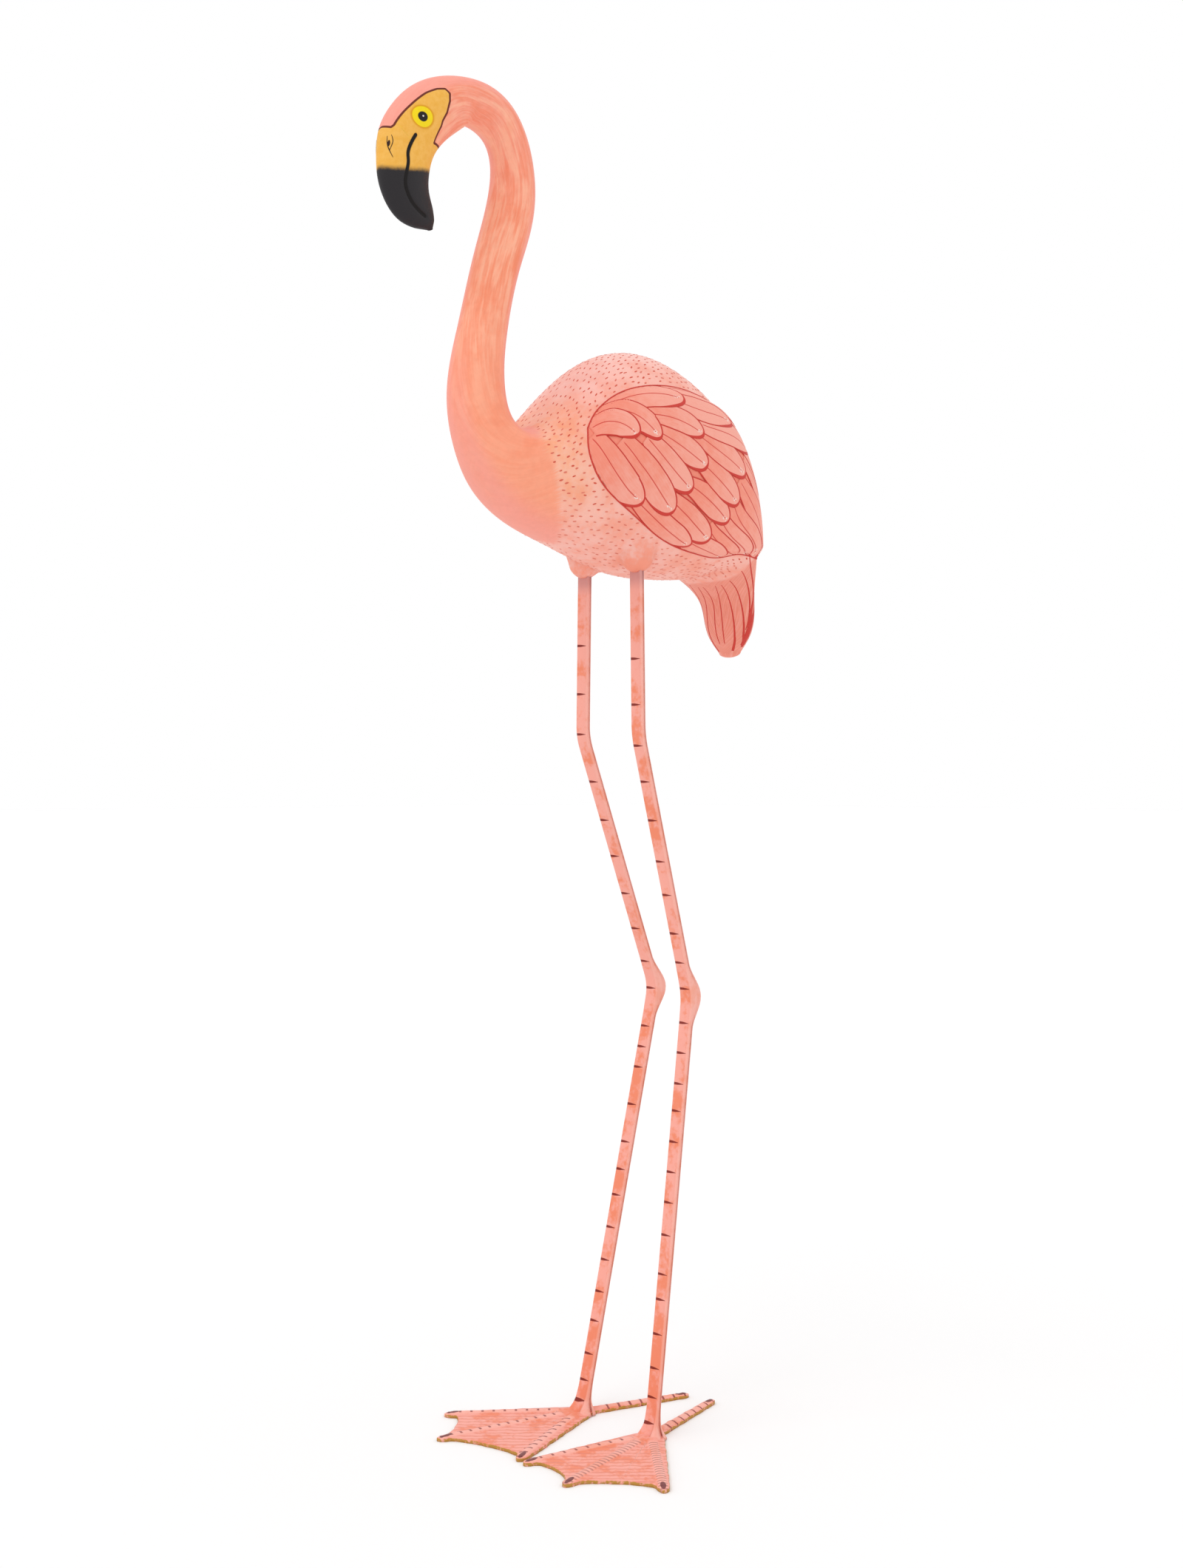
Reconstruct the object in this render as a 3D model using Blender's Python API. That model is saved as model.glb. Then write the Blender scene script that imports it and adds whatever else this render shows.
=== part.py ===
"""A standing flamingo sculpture: a papier-mache bird on two painted bar legs.

The bird is one piece, from the tip of its bill over the neck to the end of its tail, with its
folded wings raised on its sides. Each leg is a flat bar, bent at the hip and at the knee, that
stands in a webbed foot cut from plate. The bird faces -Y, its left side is +X and +Z is up.
"""

import math

import bmesh
import bpy
import numpy as np
from mathutils import Vector

# Driving dimensions, in metres
FIGURE_HEIGHT = 0.450  # from the mouths of the leg sockets up to the crown
LEG_HEIGHT = 0.867  # from the floor up to the mouths of the leg sockets
HIP_SPACING = 0.074  # between the legs' centre lines at the belly
ANKLE_SPACING = 0.100  # between them at the floor
HIP_BACK = -0.007  # how far behind the middle the legs leave the belly

BAR_WIDTH = 0.0154  # the leg bar across
BAR_DEPTH = 0.0062  # the leg bar from front to back
BAR_EDGE = 0.0016  # the rounding of the bar's corners
BEND_HEIGHT = 0.702  # where the bar bends back, below the belly
KNEE_HEIGHT = 0.437
LEFT_KNEE_BACK = 0.063  # how far each knee stands behind its ankle
RIGHT_KNEE_BACK = 0.105
KNEE_SWELL = 0.009  # how far the knee bulges to the back
KNEE_LENGTH = 0.064
FLARE_HEIGHT = 0.036  # the filled flare from the bar to the foot plate
FLARE_WIDTH = 0.022  # its size at the foot plate, across
FLARE_DEPTH = 0.017  # and from front to back

SOCKET_DEPTH = 0.030  # how far the bar goes up into the belly
SOCKET_GAP = 0.0005  # clearance round and above the bar in its socket
HIP_RADIUS = 0.0165  # the rounded swelling of the belly round each leg
HIP_RISE = 0.020  # its half height

PLATE_THICKNESS = 0.0036
TOE_WIDTH = 0.012
HIND_TOE_WIDTH = 0.0095
TOE_RISE = 0.0022  # how far a toe stands above the web at its root
HEEL_WIDTH = 0.026  # the plate across, beside the ankle
HIND_TOE_LENGTH = 0.127
LEFT_TOES = (0.145, 0.153, 0.141)  # toe lengths, from the bird's right to its left
RIGHT_TOES = (0.142, 0.163, 0.147)
LEFT_TURN = math.radians(11)  # how far each foot turns to the bird's left
RIGHT_TURN = math.radians(-16)
TOE_FAN = (math.radians(-26), 0.0, math.radians(37))  # the front toes, from the middle one
LEFT_HIND_TURN = math.radians(192)  # where each hind toe points
RIGHT_HIND_TURN = math.radians(160)
WEB_SET_BACK = 0.014  # how far the web's edge ends behind the toe tips
WEB_SAG = 0.005  # how deep the web's edge curves in between two toes

WING_RISE = 0.0040  # how far the folded wing stands out at its front
WING_TIP_RISE = 0.0065  # and at its rear end
WING_DEPTH = 0.008  # how far the wing's solid reaches into the body

# The bird's form: stations from the bill to the tail, in shares of its height. Each station is an
# ellipse between a point of the outer line (crown, nape, back) and one of the inner line (throat,
# breast, belly), as (outer y, outer z, inner y, inner z, half width), with z above the sockets.
FIGURE_PARTS = 450
STATIONS = (
    (-250, 296, -240, 301, 4),  # 0 tip of the bill
    (-279, 299, -243, 317, 9),
    (-300, 322, -249, 333, 14),
    (-305, 349, -247, 356, 17),  # 3 bend of the bill
    (-302, 377, -239, 372, 20),
    (-288, 403, -227, 385, 24),  # 5 forehead
    (-243, 439, -206, 402, 26),  # 6 crown
    (-190, 449, -196, 407, 23),  # 7 nape
    (-147, 432, -173, 400, 21),
    (-120, 363, -164, 364, 22),  # 9 top of the neck
    (-140, 279, -184, 293, 23),
    (-158, 209, -204, 221, 24),
    (-161, 159, -216, 156, 28),  # 12 foot of the neck
    (-149, 130, -205, 109, 35),
    (-126, 131, -184, 75, 46),  # 14 breast
    (-77, 178, -145, 42, 62),  # 15 shoulder
    (-20, 220, -76, 21, 86),
    (50, 218, 5, 1, 94),  # 17 widest part of the body
    (105, 184, 62, 0, 92),
    (143, 125, 107, 4, 77),  # 19 rump
    (173, 45, 131, 6, 58),  # 20 root of the tail
    (191, -10, 156, -16, 36),
    (194, -52, 163, -54, 26),
    (187, -69, 171, -71, 14),  # 23 end of the tail
)
FIRST_WING_STATION = 15
RINGS = ((0, 5, 4), (5, 9, 4), (9, 12, 5), (12, 16, 4), (16, 20, 4), (20, 23, 3))
RING_SIDES = 32

# The wing's outline on the body: (stations behind the shoulder, degrees down from the back line)
WING_OUTLINE = (
    (0.02, 84), (0.18, 67), (0.55, 58), (1.10, 56), (1.80, 52), (2.60, 44), (3.40, 36),
    (4.20, 34), (4.85, 42), (5.10, 62), (5.05, 86), (4.70, 112), (4.15, 128), (3.55, 139),
    (2.85, 141), (2.05, 139), (1.45, 134), (0.85, 123), (0.38, 108), (0.10, 94),
)
WING_MIDDLE = (2.3, 94)
WING_SIDES = 40


def spline(knots, values, at):
    """Values at the places in at, on the natural cubic through values at the rising knots."""
    knots, values, at = (np.asarray(a, dtype=float) for a in (knots, values, at))
    gaps = np.diff(knots)[:, None]
    count = len(knots)
    sums = np.eye(count)
    bends = np.zeros((count, values.shape[1]))
    slopes = np.diff(values, axis=0) / gaps
    for i in range(1, count - 1):
        sums[i, i - 1 : i + 2] = gaps[i - 1, 0], 2 * (gaps[i - 1, 0] + gaps[i, 0]), gaps[i, 0]
        bends[i] = 6 * (slopes[i] - slopes[i - 1])
    bends = np.linalg.solve(sums, bends)
    i = np.clip(np.searchsorted(knots, at, side="right") - 1, 0, count - 2)
    gap = gaps[i]
    a = (knots[i + 1] - at)[:, None] / gap
    b = 1 - a
    curved = (a**3 - a) * bends[i] + (b**3 - b) * bends[i + 1]
    return a * values[i] + b * values[i + 1] + curved * gap**2 / 6


class Figure:
    """The bird's surface, by station and by turn: 0 is its back line, 90 degrees its left."""

    def __init__(self):
        unit = FIGURE_HEIGHT / FIGURE_PARTS
        self.rows = np.array(STATIONS, dtype=float) * unit
        middles = (self.rows[:, 0:2] + self.rows[:, 2:4]) / 2
        steps = np.linalg.norm(np.diff(middles, axis=0), axis=1)
        self.knots = np.concatenate([[0.0], np.cumsum(steps)])

    def section(self, station):
        at = np.interp([station], np.arange(len(self.knots)), self.knots)
        return spline(self.knots, self.rows, at)[0]

    def point(self, station, turn):
        outer_y, outer_z, inner_y, inner_z, half_width = self.section(station)
        across, along = math.sin(turn), math.cos(turn)
        y = (outer_y + inner_y) / 2 + (outer_y - inner_y) / 2 * along
        z = (outer_z + inner_z) / 2 + (outer_z - inner_z) / 2 * along
        return Vector((half_width * across, y, LEG_HEIGHT + z))

    def raised(self, station, turn, rise):
        """The point, moved outwards from the surface by rise."""
        step = 0.01
        along = self.point(station + step, turn) - self.point(station - step, turn)
        round_it = self.point(station, turn + step) - self.point(station, turn - step)
        return self.point(station, turn) + round_it.cross(along).normalized() * rise


def mesh_object(name, points, faces, collection):
    mesh = bpy.data.meshes.new(name)
    mesh.from_pydata([tuple(p) for p in points], [], faces)
    shaped = bmesh.new()
    shaped.from_mesh(mesh)
    bmesh.ops.recalc_face_normals(shaped, faces=shaped.faces)
    shaped.to_mesh(mesh)
    shaped.free()
    made = bpy.data.objects.new(name, mesh)
    collection.objects.link(made)
    return made


def lofted(name, sections, collection):
    """A closed solid through rings of equal numbers of points, with flat ends."""
    sides = len(sections[0])
    points = [p for ring in sections for p in ring]
    faces = [tuple(range(sides)), tuple(range(len(points) - sides, len(points)))]
    for k in range(len(sections) - 1):
        for i in range(sides):
            j = (i + 1) % sides
            faces.append((k * sides + i, k * sides + j, (k + 1) * sides + j, (k + 1) * sides + i))
    return mesh_object(name, points, faces, collection)


def joined(target, tool, operation):
    """Adds the tool to the target, or cuts it away, as the target's next Boolean."""
    step = target.modifiers.new(f"{operation.lower()} {tool.name}", "BOOLEAN")
    step.operation = operation
    step.object = tool
    step.solver = "EXACT"
    tool.hide_render = True
    tool.display_type = "WIRE"


def bird_shell(figure, collection):
    """The whole bird without its wings and hips, as a loft through its stations."""
    places = []
    for first, last, count in RINGS:
        for station in range(first, last):
            places += [station + k / count for k in range(count)]
    places.append(len(STATIONS) - 1)
    turns = [2 * math.pi * i / RING_SIDES for i in range(RING_SIDES)]
    sections = [[figure.point(place, turn) for turn in turns] for place in places]
    return lofted("body", sections, collection)


def wing_solid(figure, side, collection):
    """A folded wing: a pad that follows the body, thin in front and thick at its rear end."""
    steps = np.arange(len(WING_OUTLINE) + 1)
    closed = list(WING_OUTLINE) + [WING_OUTLINE[0]]
    at = np.linspace(0, len(WING_OUTLINE), WING_SIDES, endpoint=False)
    edge = spline(steps, closed, at)
    middle = np.array(WING_MIDDLE)

    def ring(share, rise_share):
        placed = []
        for behind, degrees in middle + (edge - middle) * share:
            rise = WING_RISE + (WING_TIP_RISE - WING_RISE) * max(0.0, min(1.0, behind / 5))
            if rise_share < 0:
                rise = WING_DEPTH
            station = FIRST_WING_STATION + behind
            p = figure.raised(station, math.radians(degrees), rise * rise_share)
            placed.append(Vector((side * p.x, p.y, p.z)))
        return placed

    rings = [ring(0.15, -1), ring(0.6, -1), ring(1, -1), ring(1, 0.45), ring(0.955, 1)]
    rings += [ring(0.72, 1), ring(0.42, 1), ring(0.12, 1)]
    name = "left wing" if side > 0 else "right wing"
    return lofted(name, rings, collection)


def rounded_box_ring(centre, width, depth):
    """Twelve points round a level rectangle with rounded corners."""
    edge = min(BAR_EDGE * width / BAR_WIDTH, depth * 0.45, width * 0.45)
    ring = []
    for quarter, (sx, sy) in enumerate(((1, 1), (-1, 1), (-1, -1), (1, -1))):
        for turn in (0, 45, 90):
            angle = math.radians(90 * quarter + turn)
            x = centre[0] + sx * (width / 2 - edge) + edge * math.cos(angle)
            y = centre[1] + sy * (depth / 2 - edge) + edge * math.sin(angle)
            ring.append(Vector((x, y, centre[2])))
    return ring


def leg_line(side, knee_back, height):
    """Where the bar's centre line is at a height: straight runs between hip, bend, knee, ankle."""
    across = HIP_SPACING / 2 + (ANKLE_SPACING - HIP_SPACING) / 2 * (1 - height / LEG_HEIGHT)
    heights = (0.0, KNEE_HEIGHT, BEND_HEIGHT, LEG_HEIGHT)
    back = np.interp(height, heights, (0.0, knee_back, HIP_BACK, HIP_BACK))
    return Vector((side * across, float(back), height))


def leg_bar(name, side, knee_back, collection):
    """The bar from the floor plate to its end in the socket, with its knee and its flare."""
    sections = []

    def add(height, width=BAR_WIDTH, depth=BAR_DEPTH, back=0.0):
        centre = leg_line(side, knee_back, height) + Vector((0, back, 0))
        sections.append(rounded_box_ring(centre, width, depth))

    floor = PLATE_THICKNESS / 3
    for share in (0.0, 0.12, 0.3, 0.55, 0.8, 1.0):
        spread = (1 - share) ** 2.4
        width = BAR_WIDTH + (FLARE_WIDTH - BAR_WIDTH) * spread
        depth = BAR_DEPTH + (FLARE_DEPTH - BAR_DEPTH) * spread
        add(floor + (FLARE_HEIGHT - floor) * share, width, depth)
    add((FLARE_HEIGHT + KNEE_HEIGHT) / 2)
    for share in (-1.0, -0.6, -0.25, 0.0, 0.3, 0.62, 1.0):
        swell = KNEE_SWELL * (0.5 + 0.5 * math.cos(math.pi * share)) ** 0.8
        height = KNEE_HEIGHT + share * KNEE_LENGTH / 2
        add(height, BAR_WIDTH + swell * 0.12, BAR_DEPTH + swell, swell / 2)
    add((KNEE_HEIGHT + BEND_HEIGHT) / 2)
    add(BEND_HEIGHT - BAR_WIDTH)
    add(BEND_HEIGHT + BAR_WIDTH)
    add(LEG_HEIGHT)
    add(LEG_HEIGHT + SOCKET_DEPTH)
    return lofted(name, sections, collection)


def toe_point(angle, along, beside=0.0):
    """A place on the floor, along a toe that points angle to the bird's left of straight ahead."""
    forward = Vector((math.sin(angle), -math.cos(angle)))
    left = Vector((math.cos(angle), math.sin(angle)))
    return forward * along + left * beside


def web_edge(start, end, steps=5):
    """Points of the web's edge between two toes, curved in towards the ankle."""
    inward = -(start + end).normalized()
    edge = []
    for k in range(1, steps):
        share = k / steps
        sag = WEB_SAG * 4 * share * (1 - share)
        edge.append(start.lerp(end, share) + inward * sag)
    return edge


def foot_outline(toes, turn, hind):
    """The plate's outline round the ankle, from the hind toe over the bird's right to its left."""
    half_toe, half_hind = TOE_WIDTH / 2, HIND_TOE_WIDTH / 2
    angles = [turn + fan for fan in TOE_FAN]
    outline = [
        toe_point(hind, HEEL_WIDTH / 2, half_hind * 1.4),
        toe_point(angles[0], half_toe, -HEEL_WIDTH / 2),
    ]
    for k, (angle, length) in enumerate(zip(angles, toes)):
        tip = [
            toe_point(angle, length - half_toe, -half_toe),
            toe_point(angle, length - half_toe / 4, -half_toe / 2),
            toe_point(angle, length, 0),
            toe_point(angle, length - half_toe / 4, half_toe / 2),
            toe_point(angle, length - half_toe, half_toe),
        ]
        if k > 0:
            left_off = outline[-1]
            joins = toe_point(angle, length - WEB_SET_BACK, -half_toe)
            outline += web_edge(left_off, joins) + [joins]
        outline += tip
        if k < 2:
            outline.append(toe_point(angle, length - WEB_SET_BACK, half_toe))
    outline += [
        toe_point(angles[2], half_toe, HEEL_WIDTH / 2),
        toe_point(hind, HEEL_WIDTH / 2, -half_hind * 1.4),
        toe_point(hind, HIND_TOE_LENGTH - half_hind, -half_hind),
        toe_point(hind, HIND_TOE_LENGTH, -half_hind / 2),
        toe_point(hind, HIND_TOE_LENGTH, half_hind / 2),
        toe_point(hind, HIND_TOE_LENGTH - half_hind, half_hind),
    ]
    return outline


def foot_plate(name, ankle, toes, turn, hind, collection):
    """The webbed plate: a flat outline extruded to the plate's thickness."""
    outline = foot_outline(toes, turn, hind)
    curve = bpy.data.curves.new(name, "CURVE")
    curve.dimensions = "2D"
    curve.fill_mode = "BOTH"
    curve.extrude = PLATE_THICKNESS / 2
    line = curve.splines.new("POLY")
    line.points.add(len(outline) - 1)
    for point, place in zip(line.points, outline):
        point.co = (place.x, place.y, 0, 1)
    line.use_cyclic_u = True
    drawn = bpy.data.objects.new(name + " outline", curve)
    collection.objects.link(drawn)
    drawn.location = (ankle.x, ankle.y, PLATE_THICKNESS / 2)
    return meshed(drawn, name, collection)


def meshed(curve_object, name, collection):
    """The curve as a mesh object in the same place, with its caps welded; the curve goes."""
    bpy.context.view_layer.update()
    seen = curve_object.evaluated_get(bpy.context.evaluated_depsgraph_get())
    mesh = bpy.data.meshes.new_from_object(seen)
    welded = bmesh.new()
    welded.from_mesh(mesh)
    bmesh.ops.remove_doubles(welded, verts=welded.verts, dist=0.00001)
    bmesh.ops.recalc_face_normals(welded, faces=welded.faces)
    welded.to_mesh(mesh)
    welded.free()
    made = bpy.data.objects.new(name, mesh)
    made.matrix_world = curve_object.matrix_world
    collection.objects.link(made)
    bpy.data.objects.remove(curve_object)
    return made


def toe_ridge(name, ankle, angle, length, root_width, collection):
    """A toe's rounded back: a cone laid along the toe and pressed flat, half sunk in the plate."""
    ridge = bmesh.new()
    bmesh.ops.create_cone(
        ridge,
        cap_ends=True,
        segments=12,
        radius1=root_width / 2,
        radius2=root_width * 0.36,
        depth=length,
    )
    flatten = TOE_RISE / (root_width / 2)
    forward, left = toe_point(angle, 1), toe_point(angle, 0, 1)
    for v in ridge.verts:
        place = forward * (v.co.z + length / 2) + left * v.co.x
        v.co = Vector((place.x, place.y, v.co.y * flatten))
    bmesh.ops.recalc_face_normals(ridge, faces=ridge.faces)
    mesh = bpy.data.meshes.new(name)
    ridge.to_mesh(mesh)
    ridge.free()
    made = bpy.data.objects.new(name, mesh)
    made.location = (ankle.x, ankle.y, PLATE_THICKNESS)
    collection.objects.link(made)
    return made


def leg(name, side, knee_back, toes, turn, hind, parts, tools):
    """One leg with its foot, joined into a single piece."""
    made = leg_bar(name, side, knee_back, parts)
    ankle = leg_line(side, knee_back, 0.0)
    joined(made, foot_plate(f"{name} plate", ankle, toes, turn, hind, tools), "UNION")
    front = [(turn + fan, length - TOE_WIDTH / 2) for fan, length in zip(TOE_FAN, toes)]
    for number, (angle, length) in enumerate(front):
        ridge = toe_ridge(f"{name} toe {number}", ankle, angle, length, TOE_WIDTH, tools)
        joined(made, ridge, "UNION")
    hind_length = HIND_TOE_LENGTH - HIND_TOE_WIDTH / 2
    ridge = toe_ridge(f"{name} hind toe", ankle, hind, hind_length, HIND_TOE_WIDTH * 0.8, tools)
    joined(made, ridge, "UNION")
    return made


def hip(name, side, collection):
    """The rounded swelling of the belly where a leg goes in, level with the socket's mouth."""
    place = leg_line(side, 0.0, LEG_HEIGHT)
    swelling = bmesh.new()
    bmesh.ops.create_uvsphere(swelling, u_segments=20, v_segments=10, radius=1.0)
    for v in swelling.verts:
        v.co = Vector((v.co.x * HIP_RADIUS, v.co.y * HIP_RADIUS, v.co.z * HIP_RISE))
    mesh = bpy.data.meshes.new(name)
    swelling.to_mesh(mesh)
    swelling.free()
    made = bpy.data.objects.new(name, mesh)
    made.location = place + Vector((0, 0, HIP_RISE * 0.9))
    collection.objects.link(made)
    return made


def socket(name, side, collection):
    """The hole for a bar's end, larger all round by the clearance."""
    sections = []
    for height in (-HIP_RISE, SOCKET_DEPTH + SOCKET_GAP):
        centre = leg_line(side, 0.0, LEG_HEIGHT) + Vector((0, 0, height))
        width, depth = BAR_WIDTH + 2 * SOCKET_GAP, BAR_DEPTH + 2 * SOCKET_GAP
        sections.append(rounded_box_ring(centre, width, depth))
    return lofted(name, sections, collection)


def material(name, colour, roughness, metallic):
    made = bpy.data.materials.new(name)
    made.use_nodes = True
    shader = made.node_tree.nodes["Principled BSDF"]
    shader.inputs["Base Color"].default_value = (*colour, 1)
    shader.inputs["Roughness"].default_value = roughness
    shader.inputs["Metallic"].default_value = metallic
    made.diffuse_color = (*colour, 1)
    return made


def finish(made, look, root):
    made.data.materials.append(look)
    made.data.shade_smooth()
    made.data.set_sharp_from_angle(angle=math.radians(40))
    made.parent = root


def stand_on_origin(root, pieces):
    """Puts the middle of the pieces' box over the origin, with its underside on the floor."""
    bpy.context.view_layer.update()
    depsgraph = bpy.context.evaluated_depsgraph_get()
    corners = []
    for piece in pieces:
        seen = piece.evaluated_get(depsgraph)
        corners += [piece.matrix_world @ v.co for v in seen.data.vertices]
    low = Vector([min(c[k] for c in corners) for k in range(3)])
    high = Vector([max(c[k] for c in corners) for k in range(3)])
    root.location = (-(low.x + high.x) / 2, -(low.y + high.y) / 2, -low.z)


def main():
    for old in list(bpy.data.objects):
        bpy.data.objects.remove(old)
    parts = bpy.data.collections.new("flamingo sculpture")
    tools = bpy.data.collections.new("joined shapes and cutters")
    for collection in (parts, tools):
        bpy.context.scene.collection.children.link(collection)
    root = bpy.data.objects.new("flamingo", None)
    parts.objects.link(root)

    figure = Figure()
    body = bird_shell(figure, parts)
    for side, word in ((1, "left"), (-1, "right")):
        joined(body, hip(f"{word} hip", side, tools), "UNION")
        joined(body, wing_solid(figure, side, tools), "UNION")
    for side, word in ((1, "left"), (-1, "right")):
        joined(body, socket(f"{word} socket", side, tools), "DIFFERENCE")
    left_foot = (LEFT_KNEE_BACK, LEFT_TOES, LEFT_TURN, LEFT_HIND_TURN)
    right_foot = (RIGHT_KNEE_BACK, RIGHT_TOES, RIGHT_TURN, RIGHT_HIND_TURN)
    left_leg = leg("left_leg", 1, *left_foot, parts, tools)
    right_leg = leg("right_leg", -1, *right_foot, parts, tools)

    finish(body, material("painted papier-mache", (0.92, 0.42, 0.33), 0.6, 0.0), root)
    painted_bar = material("painted steel", (0.90, 0.42, 0.33), 0.5, 0.0)
    for made in (left_leg, right_leg):
        finish(made, painted_bar, root)
    for tool in tools.objects:
        tool.parent = root
    stand_on_origin(root, (body, left_leg, right_leg))


main()
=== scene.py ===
"""The looks of a standing flamingo sculpture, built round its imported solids.

The papier-mache bird gets a fine surface with its painted dots, face and bill, two wings of painted
feathers and the strokes on its tail. The two bar legs get their dashes, and the webbed feet
their toes, ripples, claws and bare cut edges. Lengths are in metres in the frame of the solids;
the surface layers that the paints read are in millimetres.
"""

import math

import bpy
import numpy as np
from bpy.props import FloatProperty, FloatVectorProperty, PointerProperty
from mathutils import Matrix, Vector
from mathutils.geometry import delaunay_2d_cdt


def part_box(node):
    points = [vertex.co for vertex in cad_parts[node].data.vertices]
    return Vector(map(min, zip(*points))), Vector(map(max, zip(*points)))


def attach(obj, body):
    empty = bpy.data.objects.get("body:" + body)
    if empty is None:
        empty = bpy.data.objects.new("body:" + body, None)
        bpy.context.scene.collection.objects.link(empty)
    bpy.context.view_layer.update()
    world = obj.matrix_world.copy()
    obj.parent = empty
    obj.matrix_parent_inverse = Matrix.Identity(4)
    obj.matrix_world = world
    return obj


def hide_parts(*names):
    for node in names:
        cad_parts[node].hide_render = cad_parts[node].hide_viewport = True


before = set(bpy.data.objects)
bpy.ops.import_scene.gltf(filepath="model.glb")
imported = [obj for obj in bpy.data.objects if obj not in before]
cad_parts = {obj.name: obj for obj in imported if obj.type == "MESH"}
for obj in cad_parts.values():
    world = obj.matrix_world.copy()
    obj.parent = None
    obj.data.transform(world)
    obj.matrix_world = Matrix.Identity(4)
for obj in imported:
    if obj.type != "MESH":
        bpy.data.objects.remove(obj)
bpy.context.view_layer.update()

bl_info = {
    "name": "Flamingo sculpture",
    "version": (1, 0, 0),
    "blender": (4, 5, 0),
    "location": "3D View > Sidebar > Flamingo",
    "description": "Builds a painted papier-mache flamingo on two bar legs",
    "category": "Add Mesh",
}

# The sizes that the bird's solids were made with, in metres
FIGURE_HEIGHT = 0.450
LEG_HEIGHT = 0.867
HIP_SPACING = 0.074
ANKLE_SPACING = 0.100
HIP_BACK = -0.007
BAR_WIDTH = 0.0154
BAR_DEPTH = 0.0062
BAR_EDGE = 0.0016
BEND_HEIGHT = 0.702
KNEE_HEIGHT = 0.437
LEFT_KNEE_BACK = 0.063
RIGHT_KNEE_BACK = 0.105
KNEE_SWELL = 0.009
KNEE_LENGTH = 0.064
FLARE_HEIGHT = 0.036
FLARE_WIDTH = 0.022
FLARE_DEPTH = 0.017
HIP_RADIUS = 0.0175
HIP_RISE = 0.020
PLATE_THICKNESS = 0.0036
TOE_WIDTH = 0.012
HIND_TOE_WIDTH = 0.0095
TOE_RISE = 0.0022
HEEL_WIDTH = 0.026
HIND_TOE_LENGTH = 0.127
LEFT_TOES = (0.145, 0.153, 0.141)
RIGHT_TOES = (0.142, 0.163, 0.147)
LEFT_TURN = math.radians(11)
RIGHT_TURN = math.radians(-16)
TOE_FAN = (math.radians(-26), 0.0, math.radians(37))
LEFT_HIND_TURN = math.radians(192)
RIGHT_HIND_TURN = math.radians(160)
WEB_SET_BACK = 0.014
WEB_SAG = 0.005
WING_RISE = 0.0040
WING_TIP_RISE = 0.0065

# The bird's stations from bill to tail, as in the solids: outer y and z, inner y and z, half width
FIGURE_PARTS = 450
STATIONS = (
    (-250, 296, -240, 301, 4), (-279, 299, -243, 317, 9), (-300, 322, -249, 333, 14),
    (-305, 349, -247, 356, 17), (-302, 377, -239, 372, 20), (-288, 403, -227, 385, 24),
    (-243, 439, -206, 402, 26), (-190, 449, -196, 407, 23), (-147, 432, -173, 400, 21),
    (-120, 363, -164, 364, 22), (-140, 279, -184, 293, 23), (-158, 209, -204, 221, 24),
    (-161, 159, -216, 156, 28), (-149, 130, -205, 109, 35), (-126, 131, -184, 75, 46),
    (-77, 178, -145, 42, 62), (-20, 220, -76, 21, 86), (50, 218, 5, 1, 94),
    (105, 184, 62, 0, 92), (143, 125, 107, 4, 77), (173, 45, 131, 6, 58),
    (191, -10, 156, -16, 36), (194, -52, 163, -54, 26), (187, -69, 171, -71, 14),
)
FIRST_WING_STATION = 15
WING_OUTLINE = (
    (0.04, 77), (0.15, 64.5), (0.52, 57.5), (1.10, 56), (1.80, 52), (2.60, 44), (3.40, 36),
    (4.20, 34), (4.85, 42), (5.10, 62), (5.05, 86), (4.70, 112), (4.15, 128), (3.55, 139),
    (2.85, 141), (2.05, 139), (1.45, 134), (0.76, 123), (0.33, 107), (0.13, 92),
)
WING_MIDDLE = (2.3, 94)

# Where one paint ends and the next starts: (degrees down from the back line, station)
NECK_EDGE = (
    (0, 14.10), (56, 13.84), (92, 14.28), (111, 14.70), (126, 15.02), (143, 15.28),
    (161, 15.60), (180, 15.85),
)
TAIL_EDGE = ((0, 19.90), (60, 19.95), (109, 20.02), (121, 20.16), (148, 20.30), (180, 20.25))
FACE_EDGE = (
    (0, 4.05), (28, 4.00), (33, 4.08), (37, 4.46), (43, 5.04), (48, 5.36), (55, 5.58),
    (63, 5.70), (75, 5.68), (87, 5.52), (100, 5.24), (112, 4.76), (123, 3.92), (160, 4.02),
    (180, 4.03),
)
BILL_EDGE = ((0, 2.74), (48, 2.62), (88, 2.60), (135, 2.66), (180, 2.70))
MOUTH_LINE = (
    (3.90, 79), (3.52, 75), (3.16, 73), (2.84, 76), (2.48, 73), (2.08, 69), (1.68, 72),
    (1.34, 78), (0.80, 94),
)
EYE_PLACE = (4.68, 73)

# The nostril's two lines and its dark spot: (station, degrees, width in millimetres)
NOSTRIL_STROKES = (
    ((3.70, 24, 0.4), (3.44, 26.5, 0.8), (3.22, 33, 0.8), (2.98, 42, 0.4)),
    ((3.74, 33, 0.4), (3.60, 37.5, 0.7), (3.44, 38, 0.7), (3.22, 33, 0.5)),
    ((3.56, 30, 0.6), (3.51, 30, 2.0), (3.43, 30, 2.2), (3.36, 30, 0.6)),
)

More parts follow.
